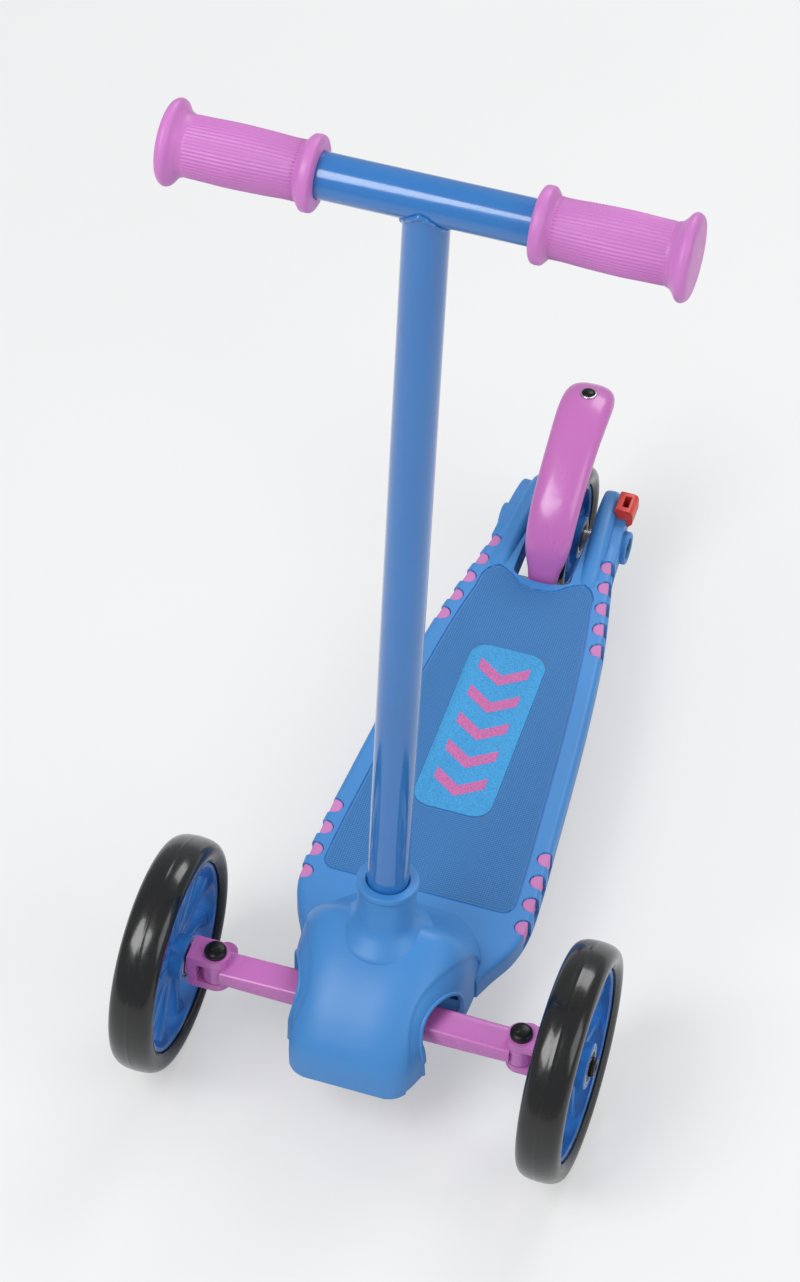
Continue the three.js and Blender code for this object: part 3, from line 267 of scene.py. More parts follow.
def cast_tyre(name):
    """Cast black polyurethane: glossy, with faint dust and fine scratches round the tread."""
    surface(name, (linear(7, 7, 8), linear(24, 23, 22)), ((35, 5, (1, 1, 1), 0.7), 0.5, 0.85),
            ((140, 5, (4, 1, 1), 0.7), 0.14, 0.34, 0.3, 0.8), ((220, 4), 0.00006),
            coat_weight=0.35, coat_roughness=0.08)


def powder_coat(name, colour, roughness):
    """Powder coat on steel tube: glossy, with a faint orange peel."""
    surface(name, tones(colour, 0.95, 1.05), ((9, 2), 0.3, 0.7),
            ((30, 3), roughness - 0.03, roughness + 0.04, 0.3, 0.7), ((420, 3), 0.00002),
            coat_weight=0.7, coat_roughness=0.05)


def plated_steel(name, colour, roughness):
    """Zinc plated steel with fine turning marks and cloudy spots."""
    surface(name, tones(colour, 0.82, 1), ((160, 5), 0.3, 0.75),
            ((500, 4, (3, 1, 1)), roughness - 0.08, roughness + 0.12, 0.3, 0.7),
            ((1100, 2, (4, 1, 1)), 0.00003), metallic=1)


def black_metal(name):
    """Black oxide steel, rubbed brighter along its edges."""
    black = linear(24, 24, 26)
    surface(name, (black, black), ((7, 2),), ((240, 4), 0.24, 0.42, 0.3, 0.7), ((900, 2), 0.00003),
            worn_edge(linear(95, 95, 98), 0.5), metallic=0.55)


def grit_film(name, colour):
    """Printed grit film: coarse sparkling grains in one colour, with a painted highlight on each grain's raised
    top and painted shade between the grains.
    """
    nodes = Nodes(bpy.data.materials.new(name))
    grains = nodes.add("ShaderNodeTexVoronoi", "Distance", {"Vector": nodes.add(*PLACE), "Scale": 1500})
    speck = nodes.spread(grains, 1, 0, 0, 0.75)
    height = nodes.math("ADD", speck, nodes.noise(700, 3))
    # Painted highlight and shade: the base colour follows the grains' height, paler on their tops and darker
    # between them.
    materials[name] = nodes.shade({"Base Color": nodes.mix(speck, *tones(colour, 0.72, 1.18)),
                                   "Roughness": nodes.spread(speck, 0.85, 0.5),
                                   "Normal": nodes.bump(height, 0.00022, 0.8)})


BLUE = linear(66, 138, 206)

moulded("deck_plastic", BLUE, 0.4)
studded("panel_texture", *tones(BLUE, 1.04), 0.46)
moulded("rim_plastic", linear(46, 116, 190), 0.3, coat=0.2, wear=0.2)
moulded("magenta_plastic", linear(200, 112, 188), 0.27, grain=0.00002, coat=0.35)
soft_rubber("pad_rubber", linear(206, 128, 190), 0.42)
soft_rubber("grip_rubber", linear(205, 122, 198), 0.42, 0.8)
cast_tyre("tyre_black")
moulded("clip_red", linear(216, 58, 44), 0.36, wear=0.2)
grit_film("grit", linear(72, 172, 236))
grit_film("grit_pink", linear(216, 118, 184))
powder_coat("stem_paint", linear(42, 116, 188), 0.2)
plated_steel("bright_steel", linear(196, 198, 200), 0.3)
black_metal("black_steel")
moulded("brake_black", linear(30, 30, 32), 0.5, wear=0.1)
soft_rubber("block_rubber", linear(28, 28, 29), 0.6)


# Meshes

def add_object(name, data):
    piece = bpy.data.objects.new(name, data)
    bpy.context.scene.collection.objects.link(piece)
    return piece


def from_bmesh(name, shape):
    mesh = bpy.data.meshes.new(name)
    shape.to_mesh(mesh)
    shape.free()
    return add_object(name, mesh)


def add_modifier(piece, kind, **settings):
    modifier = piece.modifiers.new(kind.lower(), kind)
    for key, value in settings.items():
        setattr(modifier, key, value)


def apply_modifiers(piece):
    """Bakes a piece's modifiers into its mesh."""
    depsgraph = bpy.context.evaluated_depsgraph_get()
    mesh = bpy.data.meshes.new_from_object(piece.evaluated_get(depsgraph))
    piece.modifiers.clear()
    piece.data = mesh
    return piece


def build(name, *forms):
    """One object of several forms, with its faces turned outwards."""
    shape = bmesh.new()
    for points, faces in forms:
        places = [shape.verts.new(point) for point in points]
        for face in faces:
            shape.faces.new([places[i] for i in face])
    bmesh.ops.recalc_face_normals(shape, faces=shape.faces)
    return from_bmesh(name, shape)


def plain_copy(node):
    """A copy of a node with its flat faces merged."""
    shape = bmesh.new()
    shape.from_mesh(frame["nodes"][node].data)
    bmesh.ops.remove_doubles(shape, verts=shape.verts, dist=0.002 * MM)
    bmesh.ops.dissolve_limit(shape, angle_limit=math.radians(0.8), verts=shape.verts, edges=shape.edges)
    bmesh.ops.recalc_face_normals(shape, faces=shape.faces)
    return from_bmesh(f"{node}_finish", shape)


def combine(piece, operation, *others):
    """Joins forms or pieces to a piece, or takes them off it."""
    tools = [build("tool", other) if isinstance(other, tuple) else other for other in others]
    for tool in tools:
        add_modifier(piece, "BOOLEAN", operation=operation, solver="EXACT", object=tool)
    apply_modifiers(piece)
    for tool in tools:
        bpy.data.objects.remove(tool)
    return piece


def carve(piece, *cutters):
    return combine(piece, "DIFFERENCE", *cutters)


def finish_piece(piece, node, slot=None, material=None, smooth=38, edges=None, flats=False):
    """Shades a piece, gives it its material and body, and lets a finish stand for its node.

    edges rounds its sharp edges, by a width, a number of segments and the angle of a sharp edge. With
    flats, the corner normals turn towards the larger faces, so that flats stay flat beside round edges.
    """
    if edges:
        width, segments, angle = edges
        add_modifier(piece, "BEVEL", width=width * MM, segments=segments, limit_method="ANGLE",
                     angle_limit=math.radians(angle), harden_normals=True)
        apply_modifiers(piece)
    piece.data.shade_smooth()
    piece.data.set_sharp_from_angle(angle=math.radians(smooth))
    if flats:
        add_modifier(piece, "WEIGHTED_NORMAL", mode="FACE_AREA", weight=80, keep_sharp=True)
        apply_modifiers(piece)
    if not piece.data.materials:
        piece.data.materials.append(materials[material or slot or slot_of[node]])
    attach(piece, body_of[node])
    if piece.name == f"{node}_finish":
        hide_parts(node)
    slot or slot_of[node]


def dress(node, what, *forms, **looks):
    """Builds one of a node's pieces: its finish, or something more."""
    finish_piece(build(f"{node}_{what}", *forms), node, **looks)


def finish_cast(piece, node, edge, segments=3):
    """Finishes a piece with large flats and rounded edges."""
    finish_piece(piece, node, smooth=40, edges=(edge, segments, 50), flats=True)


# Forms

def skin(rings, ends="cap"):
    """Points and faces over rings of points; the ends are capped or joined."""
    count, total = len(rings[0]), len(rings)
    faces = []
    for row in range(total if ends == "join" else total - 1):
        first, second = row * count, (row + 1) % total * count
        faces += [(first + i, first + (i + 1) % count, second + (i + 1) % count, second + i)
                  for i in range(count)]
    if ends == "cap":
        faces += [tuple(range(count)), tuple(range((total - 1) * count, total * count))]
    return [point for ring in rings for point in ring], faces


def superellipse(angle, power):
    """A point of a unit circle that is squarer for a smaller power."""
    x, y = math.cos(angle), math.sin(angle)
    return math.copysign(abs(x) ** power, x), math.copysign(abs(y) ** power, y)


def arc(steps, start=0, end=math.pi, power=1):
    """Points of such a circle from one angle to another."""
    return [superellipse(start + (end - start) * i / steps, power) for i in range(steps + 1)]


def whole(count, power):
    """Points all round such a circle."""
    return [superellipse(TAU * (i + 0.5) / count, power) for i in range(count)]


def mirrored(half):
    """A profile and its mirror image, from pairs of radius and place along."""
    return half + [(radius, -along) for radius, along in half[::-1] if along]


def round_ring(place, radius, along, segments, ripple=None):
    """Points round the Z of a place; a ripple is a radius that depends on the angle."""
    ring = []
    for i in range(segments):
        angle = TAU * (i + 0.5) / segments
        reach = (radius + (ripple(angle) if ripple else 0)) * MM
        ring.append(place @ Vector((reach * math.cos(angle), reach * math.sin(angle), along * MM)))
    return ring


def turned(place, profile, segments=64, ends="join"):
    """A form turned round the Z of a place from pairs of radius and place along it."""
    return skin([round_ring(place, radius, along, segments) for radius, along in profile], ends)


def rod_form(place, radius, start, end, segments=48):
    return turned(place, [(radius, start), (radius, end)], segments, "cap")


def round_rims(depth, radius, steps=5):
    """Pairs of (along, inset) that round both rims of a plate of that depth."""
    near = [(radius - radius * x, radius - radius * y) for x, y in arc(steps, 0, QUARTER)]
    return near + [(depth - along, inset) for along, inset in reversed(near)]


def rounded_rod(place, radius, start, end):
    """A rod with rounded rims."""
    return turned(place, [(radius - inset, start + along) for along, inset in round_rims(end - start, 1, 3)],
                  48, "cap")


def box_form(low, high):
    level = [(low[1], low[2]), (high[1], low[2]), (high[1], high[2]), (low[1], high[2])]
    return skin([[Vector((x, y, z)) for y, z in level] for x in (low[0], high[0])])


def through(points, steps):
    """A smooth open line through points, with steps between each two."""
    knots = [Vector(point) for point in points]
    last = len(knots) - 1
    line = []
    for i in range(last):
        before, start, end, after = (knots[min(max(i + k, 0), last)] for k in (-1, 0, 1, 2))
        leave, arrive = (end - before) / 2, (after - start) / 2
        for step in range(steps):
            t = step / steps
            line.append((2 * start - 2 * end + leave + arrive) * t ** 3
                        + (3 * end - 3 * start - 2 * leave - arrive) * t ** 2 + leave * t + start)
    return line + [knots[-1]]


class Path:
    """A line of points that is read by the share of its length."""

    def __init__(self, line):
        self.columns = list(zip(*line))
        self.run = np.cumsum([0, *[(b - a).length for a, b in zip(line, line[1:])]])

    def at(self, share):
        return Vector([np.interp(share * self.run[-1], self.run, column) for column in self.columns])

    def heading(self, share):
        return (self.at(min(share + 0.01, 1.0)) - self.at(max(share - 0.01, 0.0))).normalized()


def tube(line, radius, sides, closed=False):
    """A round tube along a line; its radius is a function of the number of the point."""
    rings, side, last = [], None, len(line) - 1
    for i, point in enumerate(line):
        if closed:
            way = (line[(i + 1) % len(line)] - line[i - 1]).normalized()
        else:
            way = (line[min(i + 1, last)] - line[max(i - 1, 0)]).normalized()
        side = (way.orthogonal() if side is None else side - way * side.dot(way)).normalized()
        over = way.cross(side)
        rings.append([point + radius(i) * MM * (math.cos(a) * side + math.sin(a) * over)
                      for a in (TAU * k / sides for k in range(sides))])
    return skin(rings, "join" if closed else "cap")


def inside(outline, x, y):
    """Whether a place lies inside a closed outline."""
    hit = False
    for a, b in zip(outline, outline[1:] + outline[:1]):
        if (a.y > y) != (b.y > y) and x < a.x + (y - a.y) / (b.y - a.y) * (b.x - a.x):
            hit = not hit
    return hit


# Wheels

BEARING_RADIUS = 11
BEARING_WIDTH = 7
HUB_RADIUS = 14.5
HUB_WIDTH = 26
HUB_BORE = 5
RIM_BAND = 3.5
RIM_LIP = 0.9
RIM_WIDTH_SHARE = 0.72
SPOKE_WIDTH = 5
SPOKE_DEPTH = 9


def tyre_form(place, radius, seat, width):
    """A cast tyre with a round shoulder, a flat crown and a fine parting ridge round its middle."""
    half, depth, ridge = width / 2, radius - seat, 0.12
    foot = [(seat, 0.8 * half), (seat + 0.16 * depth, 0.93 * half)]
    crown = [(seat + depth * (0.4 + 0.6 * out) - ridge, across * half)
             for across, out in arc(30, power=0.78)[:15]]
    return turned(place, mirrored(foot + crown + [(radius - ridge, 0.6), (radius, 0.2)]), 120)


def spoke_form(place, inner, outer, angle):
    """A spoke that flares into the hub and, more, into the rim."""
    radial = Vector((math.cos(angle), math.sin(angle), 0))
    sideways = Vector((-math.sin(angle), math.cos(angle), 0))
    rings = []
    for step in range(13):
        share = step / 12
        centre = radial * (inner + (outer - inner) * share)
        half = SPOKE_WIDTH / 2 * (0.85 + 1.6 * share ** 7 + 0.6 * (1 - share) ** 6)
        deep = SPOKE_DEPTH / 2 * (0.9 + 0.35 * share ** 8)
        rings.append([place @ ((centre + sideways * half * x + Vector((0, 0, deep * y))) * MM)
                      for x, y in whole(16, 0.5)])
    return skin(rings)


def rim_forms(place, seat, band, spokes):
    """A band with lips, a hub with a seat for each bearing, and spokes."""
    lip, floor, half = RIM_LIP, seat - RIM_BAND, band / 2
    rim = [(seat, half - lip), (seat - lip * 0.3, half - lip * 0.3), (seat - lip, half),
           (floor + lip * 0.6, half), (floor, half - lip), (floor + lip * 0.9, half - 3 * lip)]
    face, edge, bearing = HUB_WIDTH / 2, 0.7, BEARING_RADIUS + SEAT_GAP
    pocket = face - BEARING_WIDTH - SEAT_GAP
    hub = [(HUB_RADIUS - 0.8, 0), (HUB_RADIUS, face - 3), (HUB_RADIUS, face - edge),
           (HUB_RADIUS - edge, face), (bearing + edge / 2, face), (bearing, face - edge / 2),
           (bearing, pocket), (HUB_BORE, pocket)]
    arms = [spoke_form(place, HUB_RADIUS - 2, floor + RIM_BAND / 3, TAU * i / spokes + math.pi)
            for i in range(spokes)]
    return [turned(place, mirrored(rim), 120), turned(place, mirrored(hub)), *arms]


def bearing_form(place, half):
    """Both races of a bearing in one ring, with a shallow channel for the seal on each face."""
    outer, inner, edge, dip = BEARING_RADIUS, BOLT_BORE, 0.4, 0.6
    land, core = 9.6, 6.2
    face = [(outer, half - edge), (outer - edge, half), (land, half), (land, half - dip), (core, half - dip),
            (core, half), (inner + edge, half), (inner, half - edge)]
    return turned(place, mirrored(face), 48)


def seal_forms(place, half):
    """The black seals that lie in a bearing's channels."""
    inner, outer, top, low = 6.4, 9.4, half - 0.25, half - 0.6
    profile = [(outer, low), (outer - 0.3, top), (inner + 0.3, top), (inner, low)]
    return [turned(place, [(radius, side * along) for radius, along in profile], 48) for side, _ in SIDES]


def add_wheel(name, radius, width, depth, spokes):
    place = along_x(joint_place(f"{name}_spin"))
    seat = radius - depth
    dress(f"{name}_tyre", "finish", tyre_form(place, radius, seat, width))
    dress(f"{name}_rim", "finish", *rim_forms(place, seat - SEAT_GAP, width * RIM_WIDTH_SHARE, spokes))
    for _, side in SIDES:
        node = f"{name}_bearing_{side}"
        low, high = corners(node)
        place, half = along_x(middle(node)), (high.x - low.x) / 2
        dress(node, "finish", bearing_form(place, half))
        dress(node, "seals", *seal_forms(place, half), slot="block_rubber")


add_wheel("front_wheel_left", 75, 28, 14, 12)
add_wheel("front_wheel_right", 75, 28, 14, 12)
add_wheel("rear_wheel", 50, 24, 13, 10)


# Brake

HINGE_AHEAD = (REAR_AXLE.y - HINGE.y) / MM
FENDER_HALF_WIDTH = 18
FENDER_WALL = 3
FENDER_DROP = 9
FENDER_HEIGHT = 93
FENDER_REACH = 68
FENDER_HEM = 3
FENDER_SHARES = [(0, 0.1), (0.008, 0.215), (0.06, 0.45), (0.19, 0.67), (0.4, 0.85), (0.605, 0.962),
                 (0.78, 1), (0.915, 0.962), (1, 0.86)]
FENDER_SECTION_SHARES = [(0, 0.55, 0.5), (0.06, 0.62, 0.7), (0.12, 0.78, 0.95), (0.2, 0.88, 1),
                         (0.32, 0.92, 1), (0.47, 0.94, 1), (0.62, 0.96, 1), (0.76, 1, 1), (0.85, 0.99, 1),
                         (0.91, 0.93, 0.97), (0.95, 0.82, 0.86), (0.975, 0.68, 0.7), (0.99, 0.5, 0.5),
                         (1, 0.26, 0.26)]
RIVET_SHARE = 0.85
RIVET_RADIUS = 4.8

fender_front = HINGE_AHEAD + FENDER_HEM
fender_path = Path(through([(fender_front - along * (fender_front + FENDER_REACH), up * FENDER_HEIGHT)
                            for along, up in FENDER_SHARES], 20))


def on_fender(across, share, rise=0):
    """A place over the fender's crown."""
    way, spot = fender_path.heading(share), fender_path.at(share)
    return at(across, spot.x + way.y * rise, REAR_AXLE.z / MM + spot.y - way.x * rise)


def fender_form():
    """The fender's shell: a smooth run of arched sections with rolled edges."""
    rings = []
    for share, wide, drop in through(FENDER_SECTION_SHARES, 6):
        half, fall = wide * FENDER_HALF_WIDTH, drop * FENDER_DROP
        half_circle = arc(28, power=0.75)
        over = [(half * x, fall * (y - 1)) for x, y in half_circle]
        under = [((half - FENDER_WALL) * x, (fall - FENDER_WALL) * y - fall) for x, y in half_circle[::-1]]
        rings.append([on_fender(across, min(share, 1.0), rise) for across, rise in over + under])
    return skin(rings)


def add_brake():
    dress("brake_fender", "finish", fender_form(), smooth=60, edges=(0.9, 3, 50))
    barrel = mirrored([(4.2, -9.6), (3.8, -10), (2.9, -10)])
    dress("brake_fender", "barrel", turned(along_x(HINGE), barrel, 32))
    way = fender_path.heading(RIVET_SHARE)
    place = Matrix.Translation(on_fender(0, RIVET_SHARE)) @ turned_to(Vector((0, -way.y, -way.x)))
    dome = [(RIVET_RADIUS * x, 0.6 + 2 * y) for x, y in arc(10, 0, QUARTER)[:-1]]
    dress("brake_rivet", "finish", turned(place, [(2.5, -6), (2.5, 0), *dome, (0.3, 2.6)], 40, "cap"))
    ring = [(4.4, 0), (5.4, 0), (5.6, 0.3), (5.3, 0.65), (4.7, 0.75)]
    dress("brake_rivet", "ring", turned(place, ring, 40), slot="bright_steel")


add_brake()


# Deck, in finer steps than the solid model

DECK_HALF_WIDTH = 75.5
DECK_ROUND = 4
PLATFORM_REAR = 12
PLATFORM_FRONT = 387
PLATFORM_SHARES = [(0, 0.545), (0.05, 0.57), (0.13, 0.65), (0.264, 0.77), (0.45, 0.87), (0.66, 0.95),
                   (0.78, 0.992), (0.86, 1), (0.917, 0.945), (0.965, 0.83), (1, 0.755)]
NECK_HALF_WIDTH = 50
NECK_FRONT = 404
LUG_RADIUS = 7.4
TONGUE_HALF_WIDTH = 7
HINGE_BORE = 2.8
HEAD_BORE = 7.5
CLEAR = 80  # a height over the deck and its fork arms
SLOT_HALF_WIDTH = 20
SLOT_FRONT = 63
SLOT_ROUND = 7
ARM_SHARES = [(0, 0.6), (0.03, 0.8), (0.12, 0.93), (0.3, 1), (0.55, 0.99), (0.8, 0.92), (1, 0.82),
              (1, 0.37), (0.72, 0.26), (0.55, 0.1), (0.38, 0), (0.2, 0.07), (0.07, 0.3)]
ARM_TIP = -37
ARM_LENGTH = 97
ARM_BOTTOM = 36
ARM_HEIGHT = 38
ARM_WIDTH = 21
ARM_RIDGE = 14
WEB_INSET = 6
ARM_SPLAY = math.radians(5)
BOSS_PROFILE = [(11.5, 30), (11.5, 44.3), (11.2, 45.1), (10.5, 45.5), (9.4, 45.5), (8.9, 45)]
BOSS_REACH = 45.5
PAD_PITCH = 18.3
PAD_WIDTH = 11
PAD_DEPTH = 9.5
PAD_HEIGHT = 15
PAD_RECESS = 2
PAD_DROP = 0.8
SPINE_DEPTH = 4
SPINE_HEIGHT = 5
PAD_ROWS = [(f"side_pads_{row}_{name}", side, centre, count)
            for row, centre, count in (("rear", 71, 5), ("front", 311, 4)) for side, name in SIDES]
PANEL_INSET = 13
PANEL_REAR = 70
PANEL_LOBE = 13
PANEL_FRONT = 332
PANEL_CORNER = 8
PANEL_SHARES = [(0, 0), (0.6, 0.2), (1, 0.7), (1.4, 1), (1.75, 0.8), (1.93, 0.25)]
GROOVE_HALF_WIDTH = 0.8
GROOVE_DEPTH = 1.4
STUD_PITCH = 1.5
STUD_COLUMNS = 50
STUD_CORNERS = ((-1, -1), (1, -1), (1, 1), (-1, 1))
STUD_STEPS = ((0.56, -0.1), (0.4, 0.28))  # half widths, and heights over the deck
WALL = 4
RIB_HALF = 1.5

platform_length = PLATFORM_FRONT - PLATFORM_REAR
platform_path = Path(through([(wide * DECK_HALF_WIDTH, PLATFORM_REAR + along * platform_length)
                              for along, wide in PLATFORM_SHARES], 16))
platform_edge = [platform_path.at(i / 90) for i in range(91)]


def half_width(ahead):
    """Half the platform's width at a distance ahead of the rear axle."""
    places = [point.y for point in platform_edge]
    return float(np.interp(ahead, places, [point.x for point in platform_edge]))


def both_sides(left):
    """A closed outline of (across, ahead) from its left half."""
    return left + [Vector((-point.x, point.y)) for point in reversed(left)]


def grown(outline, distance):
    """An outline of both sides moved outwards, or inwards by a negative distance."""
    moved = []
    for before, point, after in zip(outline[-1:] + outline, outline, outline[1:] + outline[:1]):
        way = (after - before).normalized()
        moved.append(point + Vector((way.y, -way.x)) * distance)
    return moved


def drawn_in(outline, distance):
    """A closed outline made smaller about its middle by a distance on every side."""
    low, high = (Vector(pick(point[axis] for point in outline) for axis in range(2)) for pick in (min, max))
    centre, half = (low + high) / 2, (high - low) / 2
    return [Vector(centre[axis] + (point[axis] - centre[axis]) * (1 - distance / half[axis])
                   for axis in range(2)) for point in outline]


def platform_outline(inset, near=PLATFORM_REAR, far=PLATFORM_FRONT):
    """The platform's outline between two places ahead, drawn in all round by an inset."""
    shares = [i / 90 for i in range(91)]
    return both_sides([Vector((half_width(near + (far - near) * share) - inset,
                               near + inset + (far - near - 2 * inset) * share)) for share in shares])


def plate_form(outline, bottom, top):
    """A level plate over an outline of (across, ahead)."""
    return skin([[at(point.x, point.y, up) for point in outline] for up in (bottom, top)])


def platform_form():
    return skin([[at(point.x, point.y, DECK_BOTTOM + along) for point in platform_outline(inset)]
                 for along, inset in round_rims(DECK_TOP - DECK_BOTTOM, DECK_ROUND)])


def arm_outline():
    """A fork arm from its side, as (ahead, up)."""
    knots = [(ARM_TIP + along * ARM_LENGTH, ARM_BOTTOM + up * ARM_HEIGHT) for along, up in ARM_SHARES]
    return through(knots[-1:] + knots + knots[:1], 5)[5:-6]


def arm_form(side, outline, start, end, radius):
    """A layer of a fork arm: an outline of (ahead, up) between two distances from the arm's inside."""
    rings = []
    for along, inset in round_rims(end - start, radius):
        ring = []
        for point in drawn_in(outline, inset):
            across, ahead = Matrix.Rotation(-ARM_SPLAY, 2) @ Vector((start + along - ARM_WIDTH / 2, point.x))
            ring.append(at(side * (across + SLOT_HALF_WIDTH + ARM_WIDTH / 2), ahead, point.y))
        rings.append(ring)
    return skin(rings)


def arm_forms(side):
    """A high round ridge beside the wheel and a lower web along its outside."""
    outline = arm_outline()
    return (arm_form(side, outline, 0, ARM_RIDGE, 5.5),
            arm_form(side, drawn_in(outline, WEB_INSET), ARM_RIDGE / 2, ARM_WIDTH, 1.5))


def pad_outline(growth, outside):
    """A pad from above: straight sides and a round inner end."""
    half, inner = PAD_WIDTH / 2 + growth, PAD_WIDTH / 2 - PAD_DEPTH
    end = [Vector((inner - half * x, half * y)) for x, y in arc(14, -QUARTER, QUARTER)]
    return [Vector((outside, -half)), *end, Vector((outside, half))]


def pad_row_forms(side, centre, count, growth, outside, top):
    """The pads of a row and the spine that joins them."""
    reach = PAD_PITCH * (count - 1) / 2
    slope = (half_width(centre + reach) - half_width(centre - reach)) / (2 * reach)
    turn = Matrix.Rotation(-math.atan(slope), 2)

    def place(outline, bottom, top):
        moved = [turn @ point + Vector((half_width(centre), centre)) for point in outline]
        return plate_form([Vector((side * point.x, point.y)) for point in moved], bottom, top)

    bottom = DECK_TOP - PAD_HEIGHT - growth
    end = reach + PAD_WIDTH / 2 + growth
    far, near = -PAD_RECESS - SPINE_DEPTH - growth, growth - PAD_RECESS
    spine = [Vector((far, -end)), Vector((near, -end)), Vector((near, end)), Vector((far, end))]
    pads = [place([point + Vector((0, i * PAD_PITCH - reach)) for point in pad_outline(growth, outside)],
                  bottom, top) for i in range(count)]
    return [*pads, place(spine, bottom, bottom + SPINE_HEIGHT + 2 * growth)]


def panel_outline():
    rear = through([(across * SLOT_HALF_WIDTH, PANEL_REAR - back * PANEL_LOBE)
                    for across, back in PANEL_SHARES], 6)
    sides = [point - Vector((PANEL_INSET, 0)) for point in platform_edge
             if PANEL_REAR + PANEL_CORNER < point.y < PANEL_FRONT - PANEL_CORNER]
    across, ahead = half_width(PANEL_FRONT) - PANEL_INSET - PANEL_CORNER, PANEL_FRONT - PANEL_CORNER
    corner = [Vector((across + PANEL_CORNER * x, ahead + PANEL_CORNER * y)) for x, y in arc(8, 0, QUARTER)]
    return both_sides(rear[1:] + sides + corner)


def under_pockets():
    """The ribbed hollows under the platform."""
    rear, front = SLOT_FRONT + WALL, PLATFORM_FRONT - WALL
    hollow = build("cutter", plate_form(platform_outline(WALL, SLOT_FRONT, PLATFORM_FRONT), DECK_BOTTOM - 2,
                                        DECK_TOP - 5))
    low, high, reach = DECK_BOTTOM - 4, DECK_TOP, DECK_HALF_WIDTH + WALL
    rows = [rear + (front - rear) * row / 5 for row in range(1, 5)]
    ribs = [box_form(at(-reach, ahead + RIB_HALF, low), at(reach, ahead - RIB_HALF, high)) for ahead in rows]
    ribs += [box_form(at(across - RIB_HALF, front + WALL, low), at(across + RIB_HALF, rear - WALL, high))
             for across in (-DECK_HALF_WIDTH / 3, DECK_HALF_WIDTH / 3)]
    for _, side, centre, count in PAD_ROWS:
        end = PAD_PITCH * (count - 1) / 2 + PAD_WIDTH / 2 + WALL
        near, far = centre - end, centre + end
        wall = [Vector((side * (half_width(ahead) + across), ahead)) for across, ahead in
                ((-PAD_DEPTH - WALL, near), (PAD_DEPTH, near), (PAD_DEPTH, far), (-PAD_DEPTH - WALL, far))]
        ribs.append(plate_form(wall, low, high))
    return carve(hollow, *ribs)


def add_deck():
    """The deck with its neck, the lug and the tongue for the lean, the fork arms and the axle's bosses."""
    piece = build("deck_finish", platform_form())
    neck = box_form(at(-NECK_HALF_WIDTH, NECK_FRONT, DECK_BOTTOM),
                    at(NECK_HALF_WIDTH, PLATFORM_FRONT - 9, DECK_TOP))
    lug = rod_form(ON_LEAN, LUG_RADIUS, 26, 38)
    foot = box_form(at(-LUG_RADIUS, NECK_FRONT, DECK_TOP - 2), at(LUG_RADIUS, NECK_FRONT - 12, 75))
    tongue = box_form(at(-TONGUE_HALF_WIDTH, NECK_FRONT + 15, 58), at(TONGUE_HALF_WIDTH, NECK_FRONT - 2, 64))
    # The bolt's head and nut sink into round ears.
    ears = [turned(along_x(REAR_AXLE, side), BOSS_PROFILE, 64, "cap") for side, _ in SIDES]
    combine(piece, "UNION", neck, lug, foot, tongue, *arm_forms(1), *arm_forms(-1), *ears)
    half, slot_rear = SLOT_HALF_WIDTH, ARM_TIP - 2
    end = [Vector((-half * x, SLOT_FRONT - SLOT_ROUND + SLOT_ROUND * y)) for x, y in arc(24)]
    slot = [Vector((-half, slot_rear)), *end, Vector((half, slot_rear))]
    cuts = [plate_form(slot, ARM_BOTTOM - 2, CLEAR), rod_form(along_x(REAR_AXLE), BOLT_BORE, -50, 50),
            *[rod_form(along_x(REAR_AXLE, side), HEAD_BORE, BOSS_REACH - 6, 50) for side, _ in SIDES],
            rod_form(along_x(HINGE), HINGE_BORE, -24.5, 24.5), rod_form(ON_LEAN, BOLT_BORE, 20, 50)]
    for _, side, centre, count in PAD_ROWS:
        cuts += pad_row_forms(side, centre, count, SEAT_GAP, PAD_DEPTH, CLEAR)
    outline = panel_outline()
    groove = build("cutter", plate_form(grown(outline, GROOVE_HALF_WIDTH), DECK_TOP - GROOVE_DEPTH, CLEAR))
    carve(groove, plate_form(grown(outline, -GROOVE_HALF_WIDTH), DECK_TOP - 2 * GROOVE_DEPTH, CLEAR + 2))
    carve(piece, *cuts, groove, under_pockets())
    finish_cast(piece, "deck", 0.4, 2)


def add_panel():
    """The panel's field of small square studs, on a skin over the deck's top."""
    outline = grown(panel_outline(), -GROOVE_HALF_WIDTH - 0.3)
    field = grown(outline, -1.3)
    low, high = corners("grit_patch")
    near, far = (REAR_AXLE.y / MM - high.y - STUD_PITCH / 2, REAR_AXLE.y / MM - low.y + STUD_PITCH / 2)
    points, faces = [], []
    for row in range(int((PANEL_FRONT - PANEL_REAR) / STUD_PITCH) + 12):
        ahead = PANEL_FRONT - (row + 1) * STUD_PITCH
        for column in range(-STUD_COLUMNS, STUD_COLUMNS + 1):
            across = column * STUD_PITCH
            under_patch = abs(across) < high.x + STUD_PITCH / 2 and near < ahead < far
            if under_patch or not inside(field, across, ahead):
                continue
            stud, sides = skin([[at(across + x * half, ahead + y * half, DECK_TOP + up)
                                 for x, y in STUD_CORNERS] for half, up in STUD_STEPS])
            faces += [tuple(len(points) + i for i in face) for face in sides]
            points += stud
    dress("deck", "panel", plate_form(outline, DECK_TOP - 0.5, DECK_TOP + 0.02), (points, faces),
          slot="deck_plastic", material="panel_texture", smooth=30)


def add_pads():
    for node, side, centre, count in PAD_ROWS:
        dress(node, "finish", *pad_row_forms(side, centre, count, 0, -PAD_RECESS, DECK_TOP - PAD_DROP),
              smooth=42, edges=(1.1, 3, 50), flats=True)


CHEVRON_PITCH = 24
CHEVRON_REACH = 17
CHEVRON_HALF_DEPTH = 5.5
CHEVRON_HALF_STROKE = 4.5


